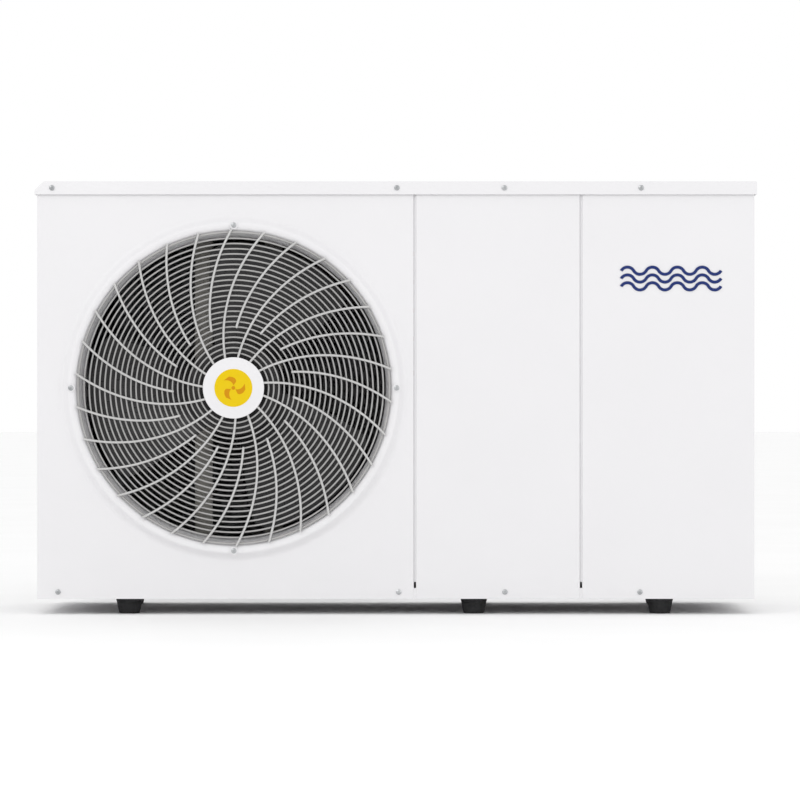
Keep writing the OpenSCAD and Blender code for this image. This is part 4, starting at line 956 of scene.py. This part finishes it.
def label():
    """The yellow disc, and its sign of three small blades round a dot."""
    radius = (label_high.x - label_low.x) / 2
    top, low = front_y - label_low.y, hub_plate_front
    body = top - 0.15 * MM
    disc = [(0, body), (radius - 0.2 * MM, body), (radius, body - 0.2 * MM), (radius, low), (0, low)]
    settle(make("guard_label_disc", *spin(disc, 72, at_fan)), "guard_label")
    ink = new_finish("label_ink", Specular_IOR_Level=0.15)
    tree = ink.node_tree
    wear(ink, colour=tones(tree, noise(tree, 900), (0.6, 0.25, 0.003), (0.64, 0.29, 0.003)),
         roughness=spread(tree, noise(tree, 200), 0.4, 0.6))
    parts = []
    near, reach, sweep, belly, root = 0.14, 0.5, 0.9, 0.75, 0.12
    for k in range(3):
        start = math.pi / 2 + k * 2 * math.pi / 3
        lead = [(radius * (near + reach * t), start + sweep * t) for t in np.linspace(0, 1, 9)]
        trail = [
            (radius * (near + reach * t), start + sweep * t - belly * math.sin(math.pi * t * 0.82) - root)
            for t in np.linspace(1, 0, 9)
        ]
        outline = [(r * math.cos(a), r * math.sin(a)) for r, a in lead + trail]
        parts.append(flat_sign(outline, body, top))
    hub = [(0, top), (radius * 0.1, top), (radius * 0.1, body), (0, body)]
    parts.append(spin(hub, 24, at_fan))
    sign = make("guard_label_sign", *gather(parts))
    sign.data.materials.append(ink)
    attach(sign, rides_on["guard_label"])


label()

# %% [markdown]
# The fan is one injection moulding with three broad swept blades. A blade is a twisted sheet that
# is thick in the middle, thin at its edges, and thicker where it grows from the hub. Its points
# follow a rule of two numbers: how far out from the hub, and how far across the blade. The same
# rule gives the CAD part its blades. Here the grid is finer, so the gloss runs smoothly over it.

# %% Fan rotor
fan_tip_r = 245 * MM
hub_r = 80 * MM
hub_front = -20 * MM
hub_rear = -112 * MM
blade_count = 3
blade_facts = {
    "middle_deg": 69, "root_turn_deg": 5.5, "span_deg": 62, "root_span_deg": 18, "sweep_deg": 7,
    "height_mm": -68, "depth_mm": 84, "taper_mm": 22, "camber_mm": 9, "half_t_mm": 2, "root_t_mm": 2.5,
}
tip_round = 12 * MM
tip_lip_mm = 2.2


def blade_point(t, u, side):
    """A point of a blade: t from hub to tip, u across it, side +1 in front and -1 behind."""
    of = blade_facts
    root = (1 - t) ** 2
    span = of["span_deg"] + of["root_span_deg"] * root
    sweep = of["sweep_deg"] * t * (1 - t) * (2 * u - 1)
    angle = of["middle_deg"] + of["root_turn_deg"] * root + (u - 0.5) * span + sweep
    corner = tip_round * (abs(2 * u - 1) ** 6) * (t ** 5)
    radius = hub_r - 1.5 * MM + t * (fan_tip_r - hub_r + 1.5 * MM) - corner
    arch = of["camber_mm"] * (1 - t * 0.6) * math.sin(math.pi * u)
    height = of["height_mm"] + (u - 0.5) * (of["depth_mm"] - of["taper_mm"] * t) + arch
    half = of["half_t_mm"] * (0.3 + 0.7 * math.sqrt(math.sin(math.pi * u)) * (1 - 0.5 * t * t))
    half += of["root_t_mm"] * math.exp(-28 * t)
    lip = tip_lip_mm * math.exp(-((1 - t) / 0.02) ** 2) * (1 if side < 0 else 0)
    a = math.radians(angle)
    z = (height + side * half * (1 if 0 < u < 1 else 0.6) - lip) * MM
    return Vector((radius * math.cos(a), radius * math.sin(a), z))


def blade(turn):
    """Points and faces of one closed blade."""
    rows, columns = 44, 40
    across = [0.5 - 0.5 * math.cos(math.pi * j / columns) for j in range(columns + 1)]
    verts, faces = [], []
    n = columns + 1
    for side in (1, -1):
        verts += [turn @ blade_point(i / rows, u, side) for i in range(rows + 1) for u in across]
    back = (rows + 1) * n
    for i in range(rows):
        for j in range(columns):
            a, b = i * n + j, (i + 1) * n + j
            faces += [(a, a + 1, b + 1, b), (back + b, back + b + 1, back + a + 1, back + a)]
    rim = list(range(n)) + [i * n + n - 1 for i in range(1, rows + 1)]
    rim += [rows * n + j for j in range(n - 2, -1, -1)] + [i * n for i in range(rows - 1, 0, -1)]
    faces += [(rim[k], back + rim[k], back + rim[(k + 1) % len(rim)], rim[(k + 1) % len(rim)])
              for k in range(len(rim))]
    return verts, faces


def arc(centre, radius, start, end, steps=6):
    """Points on an arc of a profile, as (radius, height), angles in degrees."""
    return [
        (centre[0] + radius * math.cos(math.radians(a)), centre[1] + radius * math.sin(math.radians(a)))
        for a in np.linspace(start, end, steps)
    ]


def fan():
    """The hub with its rounded front, its ribs, and three blades, in one piece."""
    round_r, wall, boss_r, bore_r = 7 * MM, 3 * MM, 18 * MM, 6 * MM
    front, rear = hub_front, hub_rear
    dish, nut_well_r, nut_seat = 4 * MM, 14 * MM, front - 16 * MM
    hub = [
        (nut_well_r, nut_seat), (nut_well_r, front - dish),
        (hub_r * 0.52, front - dish), (hub_r * 0.56, front - dish + 1.5 * MM),
        (hub_r * 0.6, front - 1 * MM), (hub_r * 0.64, front),
    ]
    hub += arc((hub_r - round_r, front - round_r), round_r, 90, 0, 8)
    hub += [(hub_r, rear + 1 * MM), (hub_r - 1 * MM, rear), (hub_r - wall, rear)]
    hub += [(hub_r - wall, front - dish - wall), (boss_r, front - dish - wall), (boss_r, rear + 4 * MM)]
    hub += [(boss_r - 1 * MM, rear), (bore_r, rear), (bore_r, nut_seat), (nut_well_r, nut_seat)]
    parts = [spin(hub, 120, at_fan)]
    for k in range(12):
        turn = at_fan @ Matrix.Rotation(k * math.pi / 6, 4, "Z")
        web = [(hub_r * 0.25, -1), (hub_r * 0.5, -1), (hub_r * 0.5, 1), (hub_r * 0.25, 1)]
        outline = [Vector((x, y * MM)) for x, y in web]
        low, high = front - dish - 0.5 * MM, front - dish + 2 * MM
        parts.append(pull(outline, lambda p, end, m=turn: m @ Vector((p.x, p.y, high if end else low))))
    for k in range(blade_count):
        parts.append(blade(at_fan @ Matrix.Rotation(k * 2 * math.pi / blade_count, 4, "Z")))
    return settle(make("fan_rotor_moulded", *gather(parts)), "fan_rotor")


fan()

# %% [markdown]
# Behind the fan stands the coil: hundreds of thin aluminium fins, pushed onto copper tubes and
# bent into an L. The fins are instances of one thin plate on a curve, a little under two
# millimetres apart, and a plate turns with the curve. The CAD part has coarse fins instead.

# %% Coil fins
coil_low, coil_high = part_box("coil_fins")
coil_t = 44 * MM
coil_bend_r = 120 * MM
fin_pitch = 1.9 * MM
fin_t = 0.16 * MM
fin_ripple = 1.0 * MM


def fins_tree():
    """Fins at a fixed pitch along the coil's L-shaped middle line."""
    tree, given = new_tree("coil_fins", pitch=fin_pitch, thickness=fin_t, depth=coil_t,
                           height=coil_high.z - coil_low.z)
    left, right = coil_low.x + coil_t / 2, coil_high.x
    front, rear = coil_low.y, coil_high.y - coil_t / 2
    bend = coil_bend_r - coil_t / 2
    z = (coil_low.z + coil_high.z) / 2
    values = {"Start": (left, front, z), "End": (left, rear - bend, z)}
    legs = add(tree, "GeometryNodeCurvePrimitiveLine", values)
    values = {"Start": (left + bend, rear, z), "End": (right, rear, z)}
    back = add(tree, "GeometryNodeCurvePrimitiveLine", values)
    values = {"Resolution": 60, "Radius": bend, "Start Angle": math.pi, "Sweep Angle": -math.pi / 2}
    turn = add(tree, "GeometryNodeCurveArc", values)
    values = {"Geometry": turn, "Translation": (left + bend, rear - bend, z)}
    turn = add(tree, "GeometryNodeTransform", values)
    path = add(tree, "GeometryNodeJoinGeometry", {0: [legs, turn, back]})
    values = {"Curve": path, "Length": given["pitch"]}
    points = add(tree, "GeometryNodeCurveToPoints", values, mode="LENGTH").node
    size = vector(tree, given["thickness"], given["depth"], given["height"])
    plate = add(tree, "GeometryNodeMeshCube", {"Size": size, "Vertices Y": 5})
    here = add(tree, "ShaderNodeSeparateXYZ", {0: add(tree, "GeometryNodeInputPosition")}).node
    phase = calc(tree, "MULTIPLY", here.outputs["Y"], 4 * math.pi / coil_t)
    ripple = calc(tree, "MULTIPLY", calc(tree, "COSINE", phase), fin_ripple)
    plate = add(tree, "GeometryNodeSetPosition", {"Geometry": plate, "Offset": vector(tree, ripple)})
    face = add(tree, "FunctionNodeAlignRotationToVector", {"Vector": points.outputs["Tangent"]}, axis="X")
    values = {"Points": points.outputs["Points"], "Instance": plate, "Rotation": face}
    close_tree(tree, add(tree, "GeometryNodeInstanceOnPoints", values), given, smooth=False)
    return tree


grow("coil_fins_fine", fins_tree(), "coil_fins")

# %% [markdown]
# Behind the coil a welded wire grid keeps hands and leaves out. Its bars cross at right angles,
# so two rows of instances make it, one for each direction.

# %% Rear wire grid
grid_wire = 3 * MM


def grid_tree():
    """Level bars and upright bars, one layer behind the other."""
    low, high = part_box("rear_coil_guard")
    tree, given = new_tree("wire_grid", wire=grid_wire, level_bars=11, upright_bars=15)
    edge, side, half = 8 * MM, 6 * MM, grid_wire / 2
    level = (given["level_bars"], (low.x, 0, 0), (high.x, 0, 0),
             (0, high.y - half, low.z + edge), (0, 0, high.z - low.z - 2 * edge))
    upright_row = (given["upright_bars"], (0, 0, low.z), (0, 0, high.z),
                   (low.x + side, low.y + half, 0), (high.x - low.x - 2 * side, 0, 0))
    parts = []
    for bars, start, end, first, step in (level, upright_row):
        bar = add(tree, "GeometryNodeCurvePrimitiveLine", {"Start": start, "End": end})
        line = wire_of(tree, bar, given["wire"])
        last = tuple(v + s for v, s in zip(first, step))
        values = {"Count": bars, "Start Location": first, "Offset": last}
        places = add(tree, "GeometryNodeMeshLine", values, mode="END_POINTS")
        parts.append(add(tree, "GeometryNodeInstanceOnPoints", {"Points": places, "Instance": line}))
    close_tree(tree, add(tree, "GeometryNodeJoinGeometry", {0: parts}), given)
    return tree


grow("rear_coil_guard_welded", grid_tree(), "rear_coil_guard")

# %% [markdown]
# All the case screws are alike: a pan head with a cross recess. The recess is cut with a Mesh
# Boolean node, once, and the head is then an instance at every place that the frame gives. A
# screw's direction comes with its place, so screws on the front, side and back share one tree.

# %% Screws
def screw_tree(places, head_d=9 * MM, head_t=2.4 * MM):
    """Pan-head screws at (point, direction) places; the point is the middle of the head's top."""
    tree, given = new_tree("pan_head_screws", head_diameter=head_d, head_height=head_t)
    ball = head_d * 0.95
    dome = add(tree, "GeometryNodeMeshUVSphere", {"Segments": 32, "Rings": 40, "Radius": ball})
    dome = add(tree, "GeometryNodeTransform", {"Geometry": dome, "Translation": (0, 0, -ball)})
    radius = calc(tree, "MULTIPLY", given["head_diameter"], 0.5)
    values = {"Vertices": 32, "Radius": radius, "Depth": given["head_height"]}
    drum = add(tree, "GeometryNodeMeshCylinder", values)
    down = vector(tree, z=calc(tree, "MULTIPLY", given["head_height"], -0.5))
    drum = add(tree, "GeometryNodeTransform", {"Geometry": drum, "Translation": down})
    head = add(tree, "GeometryNodeMeshBoolean", {1: [drum, dome]}, operation="INTERSECT", solver="EXACT")
    bars = []
    bar_l, bar_w, bar_deep = 4.8 * MM, 1.0 * MM, 2.6 * MM
    for size in ((bar_l, bar_w, bar_deep), (bar_w, bar_l, bar_deep)):
        bars.append(add(tree, "GeometryNodeMeshCube", {"Size": size}))
    cross = add(tree, "GeometryNodeMeshBoolean", {1: bars}, operation="UNION", solver="EXACT")
    head = add(tree, "GeometryNodeMeshBoolean", {0: head, 1: cross}, operation="DIFFERENCE", solver="EXACT")
    rows = []
    for point, way in places:
        turn = Vector(way).to_track_quat("Z", "Y").to_euler()
        values = {"Geometry": head, "Translation": point, "Rotation": turn}
        rows.append(add(tree, "GeometryNodeTransform", values))
    close_tree(tree, add(tree, "GeometryNodeJoinGeometry", {0: rows}), given, smooth=False)
    return tree


def screw_places(node):
    """The place and direction of each screw in a node: the head is the wide end."""
    places = []
    side_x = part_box("right_side_panel")[1].x
    for low, high in solids_of(node):
        middle_of = (low + high) / 2
        if middle_of.x > side_x - 10 * MM:
            places.append(((high.x, middle_of.y, middle_of.z), (1, 0, 0)))
        elif middle_of.y < 0:
            places.append(((middle_of.x, low.y, middle_of.z), (0, -1, 0)))
        else:
            places.append(((middle_of.x, high.y, middle_of.z), (0, 1, 0)))
    return places


for screws in ("lid_screws", "panel_screws", "guard_screws"):
    spots = screw_places(screws)
    grow(screws + "_cross_head", screw_tree(spots), screws)
    print(screws, len(spots))

# %% [markdown]
# The panels at the left, right and rear breathe through louvres, pressed outward so that rain
# runs off them. A louvre is a half lens: closed above and at its ends, open below. Its height
# follows a smooth rule along its length, so it is a grid whose points are set by arithmetic.

# %% Louvres
def louvre_tree(width, height, rise, origin, across, columns, column_step, rows, row_step, way):
    """Rows and columns of hoods on a wall that faces +X, -X or +Y."""
    tree, given = new_tree("louvres", rise=rise, wall=0.8 * MM, columns=columns, rows=rows)
    values = {"Size X": 1.0, "Size Y": 1.0, "Vertices X": 21, "Vertices Y": 6}
    grid = add(tree, "GeometryNodeMeshGrid", values)
    here = add(tree, "ShaderNodeSeparateXYZ", {0: add(tree, "GeometryNodeInputPosition")}).node.outputs
    end = calc(tree, "MULTIPLY", here["X"], 2.0)
    end = calc(tree, "SUBTRACT", 1.0, calc(tree, "POWER", calc(tree, "ABSOLUTE", end), 14.0))
    down = calc(tree, "SUBTRACT", 0.5, here["Y"])
    swell = calc(tree, "SINE", calc(tree, "MULTIPLY", down, math.pi / 2))
    out = calc(tree, "MULTIPLY", calc(tree, "MULTIPLY", swell, end), given["rise"])
    along = calc(tree, "MULTIPLY", here["X"], width)
    place = vector(tree, along, calc(tree, "MULTIPLY", here["Y"], height), out)
    hood = add(tree, "GeometryNodeSetPosition", {"Geometry": grid, "Position": place})
    hood = add(tree, "GeometryNodeExtrudeMesh", {"Mesh": hood, "Offset": (0, 0, -1), "Individual": False,
                                                 "Offset Scale": given["wall"]}).node
    skin = add(tree, "GeometryNodeSetPosition", {"Geometry": grid, "Position": place})
    skin = add(tree, "GeometryNodeFlipFaces", {0: skin})
    hood = add(tree, "GeometryNodeJoinGeometry", {0: [hood.outputs[0], skin]})
    hood = add(tree, "GeometryNodeMergeByDistance", {"Geometry": hood, "Distance": 0.01 * MM})
    line = add(tree, "GeometryNodeMeshLine", {"Count": given["rows"], "Offset": (0, row_step, 0)})
    column = add(tree, "GeometryNodeInstanceOnPoints", {"Points": line, "Instance": hood})
    line = add(tree, "GeometryNodeMeshLine", {"Count": given["columns"], "Offset": (column_step, 0, 0)})
    field = add(tree, "GeometryNodeInstanceOnPoints", {"Points": line, "Instance": column})
    turn = Matrix((across, (0, 0, 1), way)).transposed().to_euler()
    field = add(tree, "GeometryNodeTransform", {"Geometry": field, "Translation": origin, "Rotation": turn})
    close_tree(tree, field, given)
    return tree


def hoods(name, node, **shape):
    """Louvres on a panel, their doubles merged and their faces turned outwards."""
    piece = grow(name, louvre_tree(**shape), node)
    shell = bmesh.new()
    shell.from_mesh(piece.data)
    bmesh.ops.remove_doubles(shell, verts=shell.verts, dist=0.01 * MM)
    bmesh.ops.recalc_face_normals(shell, faces=shell.faces)
    shell.to_mesh(piece.data)
    shell.free()
    piece.data.set_sharp_from_angle(angle=smooth_limit)


left_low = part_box("left_side_grille")[0]
slot_w, slot_gap, slot_inset = 106 * MM, 20 * MM, 26 * MM
hoods(
    "left_side_hoods", "left_side_grille", width=slot_w, height=13 * MM, rise=3.1 * MM,
    origin=(left_low.x, left_low.y + slot_inset + slot_w / 2, 97.5 * MM), across=(0, -1, 0),
    columns=3, column_step=-(slot_w + slot_gap), rows=32, row_step=18 * MM, way=(-1, 0, 0),
)
one_column = {"height": 9 * MM, "rise": 3.2 * MM, "columns": 1, "column_step": 0.1, "row_step": 14 * MM}
hoods(
    "right_side_hoods", "right_side_panel", width=90 * MM, rows=11, way=(1, 0, 0), across=(0, 1, 0),
    origin=(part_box("right_side_panel")[1].x, 45 * MM, 93.5 * MM), **one_column,
)
hoods(
    "rear_hoods", "rear_right_panel", width=180 * MM, rows=8, way=(0, 1, 0), across=(-1, 0, 0),
    origin=(210 * MM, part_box("rear_right_panel")[1].y, 253.5 * MM), **one_column,
)

# %% [markdown]
# Rubber feet are turned shapes too. Each is a blunt cone with rounded edges, a groove where the
# mould closed, and a deep counterbore that hides its bolt.

# %% Feet
foot_top_r, foot_bottom_r = 22.5 * MM, 17.5 * MM
sink_r, sink_h, bolt_hole_r = 9 * MM, 12 * MM, 4.2 * MM


def feet():
    """All six feet, each standing where the frame has one."""
    parts = []
    for low, high in solids_of("rubber_feet"):
        h = high.z - low.z
        lean = (foot_top_r - foot_bottom_r) / h
        profile = [(sink_r, sink_h), (sink_r, 0.8 * MM), (sink_r + 0.8 * MM, 0)]
        profile += arc((foot_bottom_r - 2 * MM, 2 * MM), 2 * MM, -90, -8)
        for z, out in ((h - 8 * MM, 0), (h - 7.2 * MM, -0.5 * MM), (h - 6.4 * MM, 0)):
            profile.append((foot_bottom_r + lean * z + out, z))
        profile += arc((foot_top_r - 1.4 * MM, h - 1.4 * MM), 1.4 * MM, 10, 90, 5)
        profile += [(bolt_hole_r, h), (bolt_hole_r, sink_h), (sink_r, sink_h)]
        centre = Matrix.Translation(((low.x + high.x) / 2, (low.y + high.y) / 2, low.z))
        parts.append(spin(profile, 48, centre))
    return settle(make("rubber_feet_moulded", *gather(parts)), "rubber_feet")


feet()

# %% [markdown]
# Many other parts have their true shape already and only look too sharp, because a CAD edge has
# no radius at all. Real edges are broken by a file, a die or a mould, and they catch a thin line
# of light. These parts get the rounded copy.

# %% Parts with broken edges
broken_edges = {
    0.25 * MM: (
        "right_side_panel", "rear_right_panel", "left_side_grille", "terminal_cover", "base_pan",
        "control_box", "corner_posts", "motor_bracket", "exchanger_straps", "foot_bolts",
    ),
    0.6 * MM: (
        "cable_glands", "union_tails", "inlet_union_nut", "outlet_union_nut", "side_handle",
        "fan_nut", "motor_housing", "flow_switch", "wave_badge",
    ),
}
for width, group in broken_edges.items():
    for node in group:
        refine(node, width)

# %% Size, written for comparison
visual_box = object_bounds()
for name, box in (("cad", cad_box), ("visual", visual_box)):
    print(name, [[round(v, 4) for v in corner] for corner in box])
